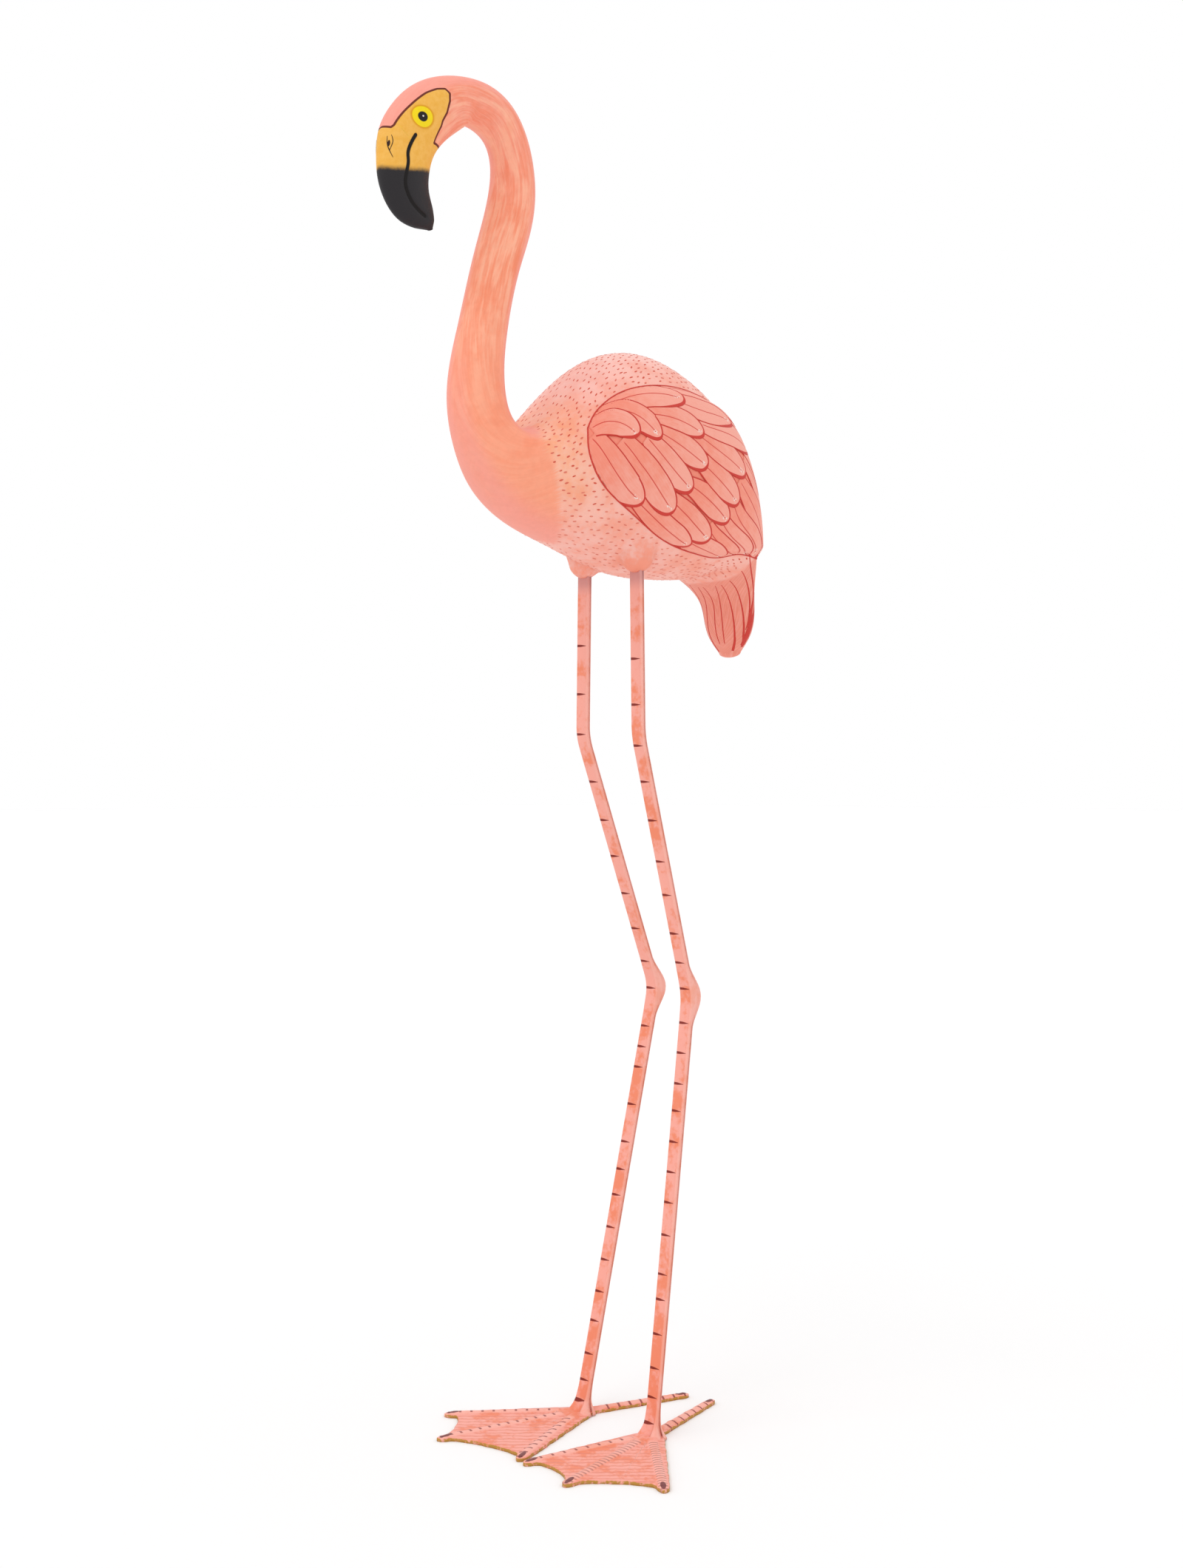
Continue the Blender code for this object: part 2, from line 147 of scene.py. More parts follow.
# The feathers of a wing, the lowest first: base, middle and tip as (station, degrees), and the
# half widths below and above the shaft in millimetres
FEATHERS = (
    ((17.9, 48), (18.9, 42), (19.75, 41), 12, 12),
    ((18, 60), (19, 56), (19.98, 50), 13, 13),
    ((18, 75), (19, 73), (20.02, 64), 13, 13),
    ((17.9, 90), (18.88, 92), (20.05, 80), 14, 14),
    ((17.78, 101), (18.68, 110), (20.02, 95), 12, 13),
    ((17.6, 112), (18.48, 121), (19.8, 113), 12, 12),
    ((17.52, 121), (18.22, 129), (19.28, 129), 11, 11),
    ((16.98, 131), (17.75, 135), (18.72, 137), 13, 14),
    ((17.2, 52), (18.1, 47), (19.1, 45), 14, 14),
    ((17.4, 66), (18.3, 62), (19.2, 59), 14, 14),
    ((16.58, 116), (17.12, 122), (17.76, 129), 14, 13),
    ((16.2, 124), (16.77, 131), (17.45, 136), 12, 13),
    ((16.81, 106), (17.32, 109), (17.96, 115), 13, 13),
    ((16.88, 93), (17.39, 97), (18.04, 103), 13, 15),
    ((16.75, 80), (17.34, 83), (18.09, 84), 13, 17),
    ((16.3, 58), (17.2, 50), (18.1, 45), 14, 14),
    ((16.85, 74), (17.54, 69), (18.35, 59), 13, 16),
    ((16.46, 66), (16.96, 65), (17.78, 56), 13, 14),
    ((16.05, 85), (16.56, 90), (17.07, 94), 13, 15),
    ((16, 90), (16.43, 101), (16.9, 108), 14, 14),
    ((15.61, 92), (16.21, 110), (16.75, 122), 16, 16),
    ((15.12, 86), (15.69, 111), (16.27, 124), 18, 17),
    ((15.99, 77), (16.46, 77), (16.93, 79), 12, 14),
    ((15.21, 66), (15.9, 64), (16.61, 64), 15, 15),
    ((15.12, 69), (15.72, 76), (16.2, 90), 14, 14),
    ((15.09, 79), (15.46, 80), (15.86, 90), 14, 15),
)

# The dark strokes on the tail: (station, degrees, width in millimetres)
TAIL_STROKES = (
    ((20.48, 169, 0.6), (21.12, 172, 1.0), (21.77, 170, 1.2), (22.42, 171, 0.9)),
    ((20.48, 159, 0.6), (21.01, 152, 1.1), (21.66, 143, 1.6), (22.32, 137, 2.4), (22.9, 140, 2.8)),
    ((20.38, 144, 0.7), (20.84, 132, 1.1), (21.44, 121, 1.6), (21.91, 113, 2.4), (22.7, 95, 3.2)),
    ((20.13, 123, 0.7), (20.63, 110, 1.2), (21.07, 101, 1.7), (21.56, 103, 1.5), (21.86, 108, 0.8)),
    ((19.83, 107, 1.0), (20.42, 98, 1.7), (20.91, 83, 2.4), (21.32, 92, 3.4), (21.8, 100, 4.2)),
    ((20.9, 66, 1.4), (21.32, 73, 4.4), (21.62, 86, 6.4), (21.98, 94, 7.0), (22.6, 98, 5.0)),
    ((20.2, 48, 0.7), (20.9, 42, 1.1), (21.6, 36, 1.4), (22.4, 30, 1.8)),
    ((20.2, 22, 0.7), (20.9, 18, 1.1), (21.6, 13, 1.4), (22.4, 8, 1.8)),
)

# The heights of the painted dashes on each leg, in metres above the floor
LEFT_DASHES = (
    0.779, 0.733, 0.692, 0.656, 0.617, 0.575, 0.541, 0.501, 0.471, 0.444, 0.409, 0.379,
    0.348, 0.321, 0.290, 0.260, 0.230, 0.198, 0.159, 0.135, 0.101, 0.068, 0.040, 0.016,
)
RIGHT_DASHES = (
    0.796, 0.746, 0.705, 0.656, 0.616, 0.578, 0.538, 0.500, 0.464, 0.435, 0.394, 0.373,
    0.352, 0.313, 0.274, 0.246, 0.220, 0.187, 0.154, 0.122, 0.093, 0.060, 0.034, 0.015,
)

# The distance between the dashes on each toe, from the bird's right to its left and the hind toe
LEFT_TOE_DASHES = (0.0130, 0.0056, 0.0056, 0.0130)
RIGHT_TOE_DASHES = (0.0115, 0.0105, 0.0110, 0.0130)
CAMERA_PLACE = np.array((1.2850, -1.3192))  # from the middle between the ankles, left and ahead
CLOSE_DASHES = 0.008  # dashes closer than this are arcs over the whole toe
DASH_SHIFT = 2.2  # how far from a toe's middle the other dashes stand, in millimetres

MILLIMETRE = 0.001
SIDES = 192  # points round the bird's surface
# First and last station, and the distance between rings, which is finer on the painted face
RING_SPACING = ((0, 6, 0.0014), (6, 13, 0.0028), (13, 20, 0.0034), (20, 23, 0.0028))
PROUD = 0.00010  # how far a coat of paint stands on what it is painted on
SUNK = 0.0010  # how deep its closed body reaches in, so no edge floats
HIP_BLEND = 0.004  # how softly the belly runs into the swelling at each leg
WING_SLOPE = 0.014  # how far inside its edge the wing reaches its full height
WING_COVER = 0.0005  # how far the bird's surface is sunk under the feathers
FEATHER_LEVEL = 0.00003  # how much higher each feather lies than the one before
EDGE_MARGIN = 0.0003  # how far inside the wing's edge a feather stays
WING_EDGE_LINE = 1.3  # width of the line round the wing, in millimetres
WING_STATIONS = 5  # how far back the wing reaches from its first station
DOT_SIDES = 8
DOT_STATIONS = (13.5, 20.5)  # the dots lie between these
DOT_SLANT = 17  # how far a dot's length turns up from the bird's own line, in degrees
GROOVE_DEPTH = 0.0016  # of the line between the halves of the bill
GROOVE_HALF = 1.8  # its half width, in millimetres
HIP_CORE = 0.9  # the share of a hip's radius that is round, with a cone outside it
HIP_CONE = 3.6
FAR_AWAY = 99.0  # millimetres, for places that a mark doesn't reach
BAR_STEP = 0.004  # between the rings of a bar
FEATHER_STRAIGHT = 0.6  # the share of a feather before its tip starts to close
FEATHER_BASE = 0.66  # its width at the base, as a share of its full width
FEATHER_ROUND = 2.3  # how bluntly the tip closes
# The corners of a toe's tip: places beside its middle and back from its end, in half widths
TOE_TIP = ((-1, 1), (-0.5, 0.25), (0, 0), (0.5, 0.25), (1, 1))
HIND_TOE_TIP = ((-1, 1), (-0.5, 0), (0.5, 0), (1, 1))
WELD_WIDTH = 0.010  # how much wider the bar's weld is on the plate
WELD_HEIGHT = 0.016
KNEE_BEND = 0.010  # how far above and below a place the bar's bends are averaged
PLATE_SPACING = 0.0026  # between the points on a foot plate
RIM_SPACING = 0.0022  # and round its edge
PLATE_WAVER = ((23, 0.24), (41, 0.22), (67, 0.16), (113, 0.10))  # waves round it, millimetres
SHOULDER = 0.0009  # how far in from its edge a plate is level
EDGE_DROP = 0.0006
BILL_TIP = 0.45  # over how much of a station the bill draws in to its tip
BILL_TIP_SHARE = 0.45  # and by how much of its width
IRIS_SHARE = 0.78  # of the radius of the ring round the eye
PUPIL_SHARE = 0.375
MATT_GLOSS = 0.25  # the shine of the varnished paper
SATIN_GLOSS = 0.2  # and of the painted bar


def linear(code):
    """An sRGB colour such as #F5A899 as linear red, green and blue."""
    shares = [int(code[k : k + 2], 16) / 255 for k in (1, 3, 5)]
    return tuple(s / 12.92 if s <= 0.04045 else ((s + 0.055) / 1.055) ** 2.4 for s in shares)


def paint(name, code, description):
    return FloatVectorProperty(
        name=name, description=description, default=linear(code), subtype="COLOR", min=0, max=1
    )


def length(name, value, description):
    return FloatProperty(
        name=name, description=description, default=value, unit="LENGTH", min=0.0, precision=5
    )


class FlamingoColours(bpy.types.PropertyGroup):
    """The colours of the painter's pots."""

    neck: paint("Neck", "#F79D7D", "Salmon on the neck and the head")
    neck_pale: paint("Neck pale", "#FBB798", "Peach strokes along the neck")
    neck_deep: paint("Neck deep", "#EE7D56", "Orange where the brush was full")
    neck_side: paint("Neck sides", "#F49C8D", "Pink along the nape and round the far side")
    body_pale: paint("Body pale", "#F6BEB3", "Paler pink along the top of the back")
    body: paint("Body", "#F4AB9A", "Pink of the breast, the back and the belly")
    breast: paint("Breast", "#F5AE8E", "Peach on the front of the breast")
    hip: paint("Hips", "#EF8668", "Warm smears where the legs go in")
    dot: paint("Dots", "#CE503A", "The dots on the body")
    dot_faint: paint("Dots faint", "#E8917E", "Where the brush was nearly dry")
    feather: paint("Feathers", "#EF8B75", "Coral of the feathers")
    feather_pale: paint("Feathers pale", "#F3A594", "Pinker middle and tip of a feather")
    outline: paint("Outlines", "#CA3A30", "Edges and shafts of the feathers")
    outline_dry: paint("Outlines dry", "#DA6A5C", "The same paint, brushed thin")
    tail: paint("Tail", "#E98D78", "Deeper coral of the tail")
    tail_pale: paint("Tail pale", "#F09F8F", "Pinker strokes on the tail")
    face: paint("Face", "#ECAE44", "Bare yellow skin round the bill")
    face_pale: paint("Face pale", "#EDB557", "Lighter dabs on the face")
    face_line: paint("Face outline", "#6A281B", "The line drawn round the face")
    bill: paint("Bill", "#262326", "Black end of the bill")
    line: paint("Lines", "#120D0C", "Mouth line and nostrils")
    iris: paint("Iris", "#F0D30E", "Yellow of the eye")
    eye_ring: paint("Eye ring", "#D9960F", "Orange ring round the eye")
    pupil: paint("Pupil", "#1C1816", "Black of the eye")
    eye_light: paint("Eye light", "#E8E4DE", "The small white light in the eye")
    speck: paint("Specks", "#F0D6CC", "Pale dots where a feather's shaft ends")
    leg: paint("Legs", "#F2A596", "Pink of the bar legs and the feet")
    # Painted highlight: lighter along the left edge of each bar and down the crest of each toe
    leg_highlight: paint("Legs highlight", "#F4B8AA", "Lighter edge of a bar and of a toe")
    leg_warm: paint("Legs warm", "#EA7F58", "Orange blotches on the legs")
    # Painted shade: a darker mauve on the top of each bar, where the belly overhangs it
    belly_shade: paint("Belly shade", "#B07C80", "Mauve under the belly")
    dash: paint("Dashes", "#7A1A10", "The dashes down the legs")
    toe_dash: paint("Toe dashes", "#8E3F3C", "The dashes across the toes")
    claw: paint("Claws", "#6C3236", "Mauve brown of the claws")
    ripple: paint("Ripples", "#DE7F6A", "Fine ripples painted on the webs")
    plate_edge: paint("Plate edge", "#B8863A", "Bare cut edge of the foot plates")


class FlamingoMarks(bpy.types.PropertyGroup):
    """The sizes of the painted marks."""

    dot_length: length("Dot length", 0.0039, "Length of a dot on the body")
    dot_width: length("Dot width", 0.0016, "Width of a dot on the body")
    dot_step: length("Dot step", 0.0090, "Distance between dots along the body")
    dot_row: length("Dot row", 0.0080, "Distance between rows of dots")
    outline: length("Outline", 0.0012, "Width of a feather's outline")
    tip_outline: length("Tip outline", 0.0034, "Width of the outline at a feather's tip")
    shaft: length("Shaft", 0.0010, "Width of a feather's shaft line")
    mouth: length("Mouth", 0.0036, "Width of the line between the halves of the bill")
    eye: length("Eye", 0.0119, "Radius of the ring round the eye")
    leg_dash: length("Leg dash", 0.0024, "Height of a dash on a leg")
    ripple: length("Ripple", 0.0080, "Distance between ripples on a web")


class FlamingoStage(bpy.types.PropertyGroup):
    """The floor, the light and the camera."""

    floor: paint("Floor", "#F5F5F5", "Plain floor")
    camera_height: length("Camera height", 0.6538, "Height of the level camera")
    lens: FloatProperty(name="Lens", description="Focal length", default=41.52, unit="CAMERA")
    key_power: FloatProperty(name="Key", description="Strength of the soft key", default=0.45)


# Shared shaping tools


def spline(knots, values, at):
    """Values at the places in at, on the natural cubic through values at the rising knots."""
    knots, values, at = (np.asarray(a, dtype=float) for a in (knots, values, at))
    gaps = np.diff(knots)[:, None]
    count = len(knots)
    sums = np.eye(count)
    bends = np.zeros((count, values.shape[1]))
    slopes = np.diff(values, axis=0) / gaps
    for i in range(1, count - 1):
        sums[i, i - 1 : i + 2] = gaps[i - 1, 0], 2 * (gaps[i - 1, 0] + gaps[i, 0]), gaps[i, 0]
        bends[i] = 6 * (slopes[i] - slopes[i - 1])
    bends = np.linalg.solve(sums, bends)
    i = np.clip(np.searchsorted(knots, at, side="right") - 1, 0, count - 2)
    gap = gaps[i]
    a = (knots[i + 1] - at)[:, None] / gap
    b = 1 - a
    curved = (a**3 - a) * bends[i] + (b**3 - b) * bends[i + 1]
    return a * values[i] + b * values[i + 1] + curved * gap**2 / 6


def smooth_step(low, high, value):
    share = np.clip((np.asarray(value, dtype=float) - low) / (high - low), 0, 1)
    return share * share * (3 - 2 * share)


def unit(vectors):
    return vectors / np.maximum(np.linalg.norm(vectors, axis=-1, keepdims=True), 1e-12)


def travelled(points):
    """The distance from the first point to each one, down the first axis."""
    steps = np.linalg.norm(np.diff(points, axis=0), axis=-1)
    return np.concatenate([np.zeros((1, *steps.shape[1:])), np.cumsum(steps, axis=0)])


def nearest_distance(points, line):
    """The distance from each point to the nearest place on a line of joined points."""
    starts, runs = line[:-1], np.diff(line, axis=0)
    squares = np.maximum((runs**2).sum(axis=1), 1e-18)
    found = np.empty(len(points))
    for first in range(0, len(points), 4000):
        offsets = points[first : first + 4000, None, :] - starts[None]
        shares = np.clip((offsets * runs).sum(axis=2) / squares, 0, 1)
        offsets -= shares[:, :, None] * runs
        found[first : first + 4000] = np.sqrt((offsets**2).sum(axis=2).min(axis=1))
    return found


def inside(outline, x, y):
    """Whether each place lies inside a closed outline of (x, y) corners."""
    corners = np.asarray(outline, dtype=float)
    within = np.zeros(np.shape(x), dtype=bool)
    for (x0, y0), (x1, y1) in zip(corners, np.roll(corners, -1, axis=0)):
        if y0 == y1:
            continue
        crosses = (y0 > y) != (y1 > y)
        within ^= crosses & (x < (x1 - x0) * (y - y0) / (y1 - y0) + x0)
    return within


class Bird:
    """The bird's surface, by station and by degrees from its back line, 90 being its left."""

    def __init__(self):
        self.rows = np.array(STATIONS, dtype=float) * FIGURE_HEIGHT / FIGURE_PARTS
        self.knots = travelled((self.rows[:, 0:2] + self.rows[:, 2:4]) / 2)
        self.shift = np.zeros(3)
        stations, degrees = np.meshgrid(np.linspace(0, 23, 400), np.arange(0, 360, 3))
        rough = self.points(stations.ravel(), degrees.ravel())
        low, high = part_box("body")
        self.shift = np.array(
            ((low.x + high.x) / 2, low.y - rough[:, 1].min(), high.z - rough[:, 2].max())
        )
        corners = list(WING_OUTLINE) + [WING_OUTLINE[0]]
        at = np.linspace(0, len(WING_OUTLINE), 320, endpoint=False)
        edge = spline(np.arange(len(corners)), corners, at)
        self.wing_edge = edge + np.array((FIRST_WING_STATION, 0))
        rim = self.points(self.wing_edge[:, 0], self.wing_edge[:, 1])
        self.wing_rim = np.concatenate([rim, rim[:1]])

    def sections(self, stations):
        at = np.interp(stations, np.arange(len(self.knots)), self.knots)
        return spline(self.knots, self.rows, np.atleast_1d(at))

    def points(self, stations, degrees):
        part = self.sections(stations)
        turn = np.radians(np.atleast_1d(degrees))
        across, along = np.sin(turn), np.cos(turn)
        y = (part[:, 0] + part[:, 2]) / 2 + (part[:, 0] - part[:, 2]) / 2 * along
        z = (part[:, 1] + part[:, 3]) / 2 + (part[:, 1] - part[:, 3]) / 2 * along
        return np.stack([part[:, 4] * across, y, LEG_HEIGHT + z], axis=1) + self.shift

    def normals(self, stations, degrees):
        stations, degrees = np.atleast_1d(stations), np.atleast_1d(degrees)
        along = self.points(stations + 0.01, degrees) - self.points(stations - 0.01, degrees)
        round_it = self.points(stations, degrees + 0.5) - self.points(stations, degrees - 0.5)
        return unit(np.cross(round_it, along))

    def raised(self, stations, degrees, rise):
        rise = np.broadcast_to(rise, np.shape(np.atleast_1d(stations)))
        return self.points(stations, degrees) + self.normals(stations, degrees) * rise[:, None]

    def in_wing(self, stations, degrees):
        """How far inside the left wing's outline each place lies, negative outside it."""
        away = nearest_distance(self.points(stations, degrees), self.wing_rim)
        within = inside(self.wing_edge, np.asarray(stations), np.asarray(degrees))
        return np.where(within, away, -away)

    def wing_height(self, stations, within):
        """How far the folded wing stands out from the body, within metres inside its edge."""
        behind = np.clip((np.asarray(stations) - FIRST_WING_STATION) / WING_STATIONS, 0, 1)
        full = WING_RISE + (WING_TIP_RISE - WING_RISE) * behind
        return full * smooth_step(-0.001, WING_SLOPE, within)


def mesh_piece(name, points, faces, layers, finish):
    """A mesh object of the given surface layers and finish, riding on the body."""
    mesh = bpy.data.meshes.new(name)
    mesh.from_pydata(np.asarray(points, dtype=float).tolist(), [], faces)
    for layer, values in layers.items():
        made = mesh.attributes.new(layer, "FLOAT_VECTOR", "POINT")
        made.data.foreach_set("vector", np.asarray(values, dtype=np.float32).ravel())
    mesh.materials.append(finish)
    mesh.shade_smooth()
    mesh.validate()
    piece = bpy.data.objects.new(name, mesh)
    bpy.context.scene.collection.objects.link(piece)
    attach(piece, "root")
    return piece


def joined(parts):
    """Parts of points, faces and surface layers as one such part."""
    points, faces, layers = [], [], []
    for placed, made, read in parts:
        first = sum(len(block) for block in points)
        faces += [tuple(first + v for v in face) for face in made]
        points.append(placed)
        layers.append(read)
    layers = {name: np.concatenate([read[name] for read in layers]) for name in layers[0]}
    return np.concatenate(points), faces, layers


def turned_over(faces):
    return [tuple(reversed(face)) for face in faces]


def tube_faces(rings, sides):
    """Faces of a tube of rings, closed at both ends."""
    faces = []
    for k in range(rings - 1):
        for i in range(sides):
            j = (i + 1) % sides
            faces.append((k * sides + j, k * sides + i, (k + 1) * sides + i, (k + 1) * sides + j))
    last = range((rings - 1) * sides, rings * sides)
    return faces + [tuple(range(sides)), tuple(reversed(last))]


def shell_faces(rows, columns):
    """Faces of a thin closed shell: a top grid of rows by columns, and a bottom grid after it."""
    count = rows * columns
    faces = []
    for i in range(rows - 1):
        for j in range(columns - 1):
            a = i * columns + j
            top = (a, a + 1, a + columns + 1, a + columns)
            faces += [top, tuple(count + v for v in reversed(top))]
    rim = list(range(columns)) + [i * columns + columns - 1 for i in range(1, rows)]
    rim += [(rows - 1) * columns + j for j in range(columns - 2, -1, -1)]
    rim += [i * columns for i in range(rows - 2, 0, -1)]
    for a, b in zip(rim, rim[1:] + rim[:1]):
        faces.append((b, a, count + a, count + b))
    return faces


# Node trees


class Value:
    """What a node puts out; its sums and products add the nodes that they need."""

    def __init__(self, tree, node, output=None):
        self.tree, self.node = tree, node
        live = [socket for socket in node.outputs if socket.enabled] or [None]
        self.socket = live[0] if output is None else node.outputs[output]

    def part(self, output):
        return Value(self.tree, self.node, output)

    def maths(self, operation, *others):
        return add(self.tree, "Math", (self, *others), operation=operation)

    def __mul__(self, other):
        return self.maths("MULTIPLY", other)

    def __add__(self, other):
        return self.maths("ADD", other)

    def __sub__(self, other):
        return self.maths("SUBTRACT", other)

    def __abs__(self):
        return self.maths("ABSOLUTE")

    def band(self, low, high):
        """0 below low, 1 above high, and smooth between them."""
        limits = {"Value": self, "From Min": low, "From Max": high}
        return add(self.tree, "MapRange", limits, interpolation_type="SMOOTHSTEP")


def add(tree, kind, inputs=(), **settings):
    """A node with its settings, and its inputs in order or by name: numbers, colours or links."""
    made = tree.nodes.new("ShaderNode" + kind)
    for name, value in settings.items():
        setattr(made, name, value)
    live = [socket for socket in made.inputs if socket.enabled]
    pairs = inputs.items() if isinstance(inputs, dict) else enumerate(inputs)
    for key, value in pairs:
        socket = live[key] if isinstance(key, int) else next(s for s in live if s.name == key)
        if isinstance(value, Value):
            tree.links.new(value.socket, socket)
        elif socket.type == "RGBA" and len(value) == 3:
            socket.default_value = (*value, 1)
        else:
            socket.default_value = value
    return Value(tree, made)


def started(name):
    """A new material's tree with its output and shader."""
    made = bpy.data.materials.new(name)
    made.use_nodes = True
    tree = made.node_tree
    tree.nodes.clear()
    shader = add(tree, "BsdfPrincipled")
    add(tree, "OutputMaterial", {"Surface": shader})
    return made, tree, shader


def finished(shader, colour, dull, gloss, relief=None, depth=0.0):
    """Gives the shader its colour, its roughness, its gloss and a low relief, depth in metres."""
    tree, inputs = shader.tree, shader.node.inputs
    tree.links.new(colour.socket, inputs["Base Color"])
    tree.links.new(dull.socket, inputs["Roughness"])
    inputs["Specular IOR Level"].default_value = gloss
    if relief:
        bump = add(tree, "Bump", {"Strength": 1.0, "Distance": depth, "Height": relief})
        tree.links.new(bump.socket, inputs["Normal"])


def layer(tree, name):
    """The three parts of a surface layer, in millimetres."""
    read = add(tree, "Attribute", attribute_name=name).part("Vector")
    parts = add(tree, "SeparateXYZ", (read,))
    return [parts.part(k) for k in range(3)]


def coats(colour, *laid):
    """Lays coats of paint over a colour, each given as its share and its own colour."""
    for share, paint in laid:
        mix = {"Factor": share, "A": colour, "B": paint}
        colour = add(share.tree, "Mix", mix, data_type="RGBA")
    return colour


def grain(vector, scale, detail, roughness=0.55):
    noise = {"Vector": vector, "Scale": scale, "Detail": detail, "Roughness": roughness}
    return add(vector.tree, "TexNoise", noise)


def brush_marks(across, along, beside, behind, detail, roughness=0.55, turn=0.0):
    """Strokes along a piece, so many to the millimetre beside and behind each other."""
    places = (across * beside, along * behind, turn)
    return grain(add(across.tree, "CombineXYZ", places), 1.0, detail, roughness)


def painted_papier_mache(colours, marks):
    """Pasted paper, brushed with matt acrylic: soft mottling, visible strokes, a dull shine."""
    made, tree, shader = started("painted papier-mache")
    along, girth, turn = layer(tree, "place")
    neck, tail, bill = layer(tree, "zones")
    face, mouth, breast = layer(tree, "head")
    eye_fore, eye_up, full = layer(tree, "eye")
    wing, hip, _ = layer(tree, "under")
    where = add(tree, "TexCoord").part("Object")
    blotches = grain(where, 34, 3)  # about 30 mm, a brushful of paint
    mottle = grain(where, 170, 4, 0.65)  # about 6 mm, the dabbing of the brush
    strokes = brush_marks(girth, along, 0.62, 0.028, 3, 0.6)  # 1.6 by 36 mm, on the tail
    broad = brush_marks(girth, along, 0.12, 0.020, 3, 0.6, full)  # 8 by 50 mm
    narrow = brush_marks(girth, along, 0.50, 0.024, 3, 0.65, full)  # 2 by 42 mm

    # The body: pink with a peach breast, dabbed lighter and warmer
    dabs = mottle * 0.55 + blotches
    body = coats(
        colours.body, (turn.band(0.34, 0.06), colours.body_pale), (breast, colours.breast)
    )
    paler = add(tree, "HueSaturation", {"Saturation": 0.88, "Value": 1.015, "Color": body})
    warmer = add(tree, "HueSaturation", {"Saturation": 1.10, "Value": 0.985, "Color": body})
    body = coats(
        paler,
        (dabs.band(0.60, 0.98), warmer),
        (hip.band(36.0, 6.0) * dabs.band(0.62, 0.90) * 0.60, colours.hip),
        (
            tail.band(2.5, -2.5),
            coats(colours.tail, (strokes.band(0.40, 0.66), colours.tail_pale)),
        ),
        (wing.band(-0.4, 0.4), colours.feather),
    )

    # The neck: long strokes of peach and orange over salmon, weaker on the breast. It is pinker
    # up at the head, where it turns away and low on the breast.
    laid = narrow * 0.8 + broad
    plain = neck.band(30.0, 150.0) * 0.80 + 0.20
    neck_paint = coats(
        colours.neck,
        (neck.band(150.0, 300.0) * 0.45, colours.neck_side),
        (laid.band(0.84, 1.06) * plain * 0.70, colours.neck_pale),
        (laid.band(0.92, 0.70) * plain * 0.50, colours.neck_deep),
        (blotches.band(0.48, 0.66) * 0.30, colours.neck_deep),
        ((full - narrow * 0.5).band(0.42, -0.06) * 0.85, colours.neck_side),
        (turn.band(0.76, 0.94) * neck.band(125.0, 45.0) * 0.85, colours.neck_side),
    )
    ragged = neck + narrow * 26.0 - 13.0
    face_paint = coats(colours.face, (mottle.band(0.3, 0.75), colours.face_pale))

    # The eye's rings, from the outer one inwards, and its small white light
    eye = add(tree, "CombineXYZ", (eye_fore * 0.90, eye_up))
    away = add(tree, "VectorMath", (eye,), operation="LENGTH").part("Value")
    light = add(tree, "VectorMath", (eye, (0.3, 0.5, 0.0)), operation="DISTANCE").part("Value")
    radius = marks.eye / MILLIMETRE
    iris, pupil = radius * IRIS_SHARE, radius * PUPIL_SHARE
    half_mouth = marks.mouth / 2 / MILLIMETRE
    colour = coats(
        body,
        (ragged.band(-6.0, 4.0), neck_paint),
        (face.band(-0.3, 0.3), face_paint),
        (abs(face).band(1.30, 0.85), colours.face_line),
        (away.band(radius, radius - 2.4), colours.eye_ring),
        (away.band(iris + 0.3, iris - 0.3), colours.iris),
        (away.band(pupil + 0.3, pupil - 0.3), colours.pupil),
        (light.band(0.95, 0.55), colours.eye_light),
        ((bill + (mottle * 4.0 - 2.0)).band(-3.8, 2.6), colours.bill),
        (mouth.band(half_mouth + 0.4, half_mouth - 0.4), colours.line),
    )
    tint = mottle.band(0.3, 0.72) * 0.05 + 0.975
    colour = add(tree, "HueSaturation", {"Value": tint, "Color": colour})
    finished(shader, colour, mottle * 0.16 + 0.48, MATT_GLOSS, blotches * 2.0 + mottle, 0.0003)
    return made


def feather_paint(colours, marks):
    """Acrylic feathers: a coral wash, paler at the tip, with a hand-drawn outline and shaft."""
    made, tree, shader = started("painted feathers")
    rim, across, share = layer(tree, "feather")
    along, tone, _ = layer(tree, "stroke")
    where = add(tree, "TexCoord").part("Object")
    mottle = grain(where, 120, 4, 0.6)
    streaks = brush_marks(across, along, 0.75, 0.05, 3)  # 1.3 by 20 mm
    pale = share.band(0.15, 0.95) * 0.42 + mottle * 0.7 + streaks * 0.7 + tone * 0.35

    # The outline is broad round the lower side of the tip and thin elsewhere
    thin, broad = marks.outline / MILLIMETRE, marks.tip_outline / MILLIMETRE
    lower = across.band(5.0, -2.0) * 0.80 + 0.20
    width = share.band(0.62, 0.93) * lower * (broad - thin) + thin
    outline = (rim - width).band(0.2, -0.2)
    beside = abs(across)
    half_shaft = marks.shaft / 2 / MILLIMETRE
    shaft = beside.band(half_shaft + 0.2, half_shaft - 0.2)
    shaft = shaft * (share.band(0.02, 0.06) * share.band(0.93, 0.89)) * 0.9

    # Pale dots where the shaft ends
    near = beside.band(2.4, 1.6) * share.band(0.84, 0.88) * share.band(0.96, 0.93)
    specks = grain(where, 520, 1).band(0.52, 0.58) * near * outline.band(0.5, 0.0)
    colour = coats(
        colours.feather,
        (pale.band(0.70, 1.40), colours.feather_pale),
        (outline.maths("MAXIMUM", shaft), colours.outline),
        (specks, colours.speck),
    )
    finished(shader, colour, mottle * 0.16 + 0.48, MATT_GLOSS, streaks, 0.0002)
    return made


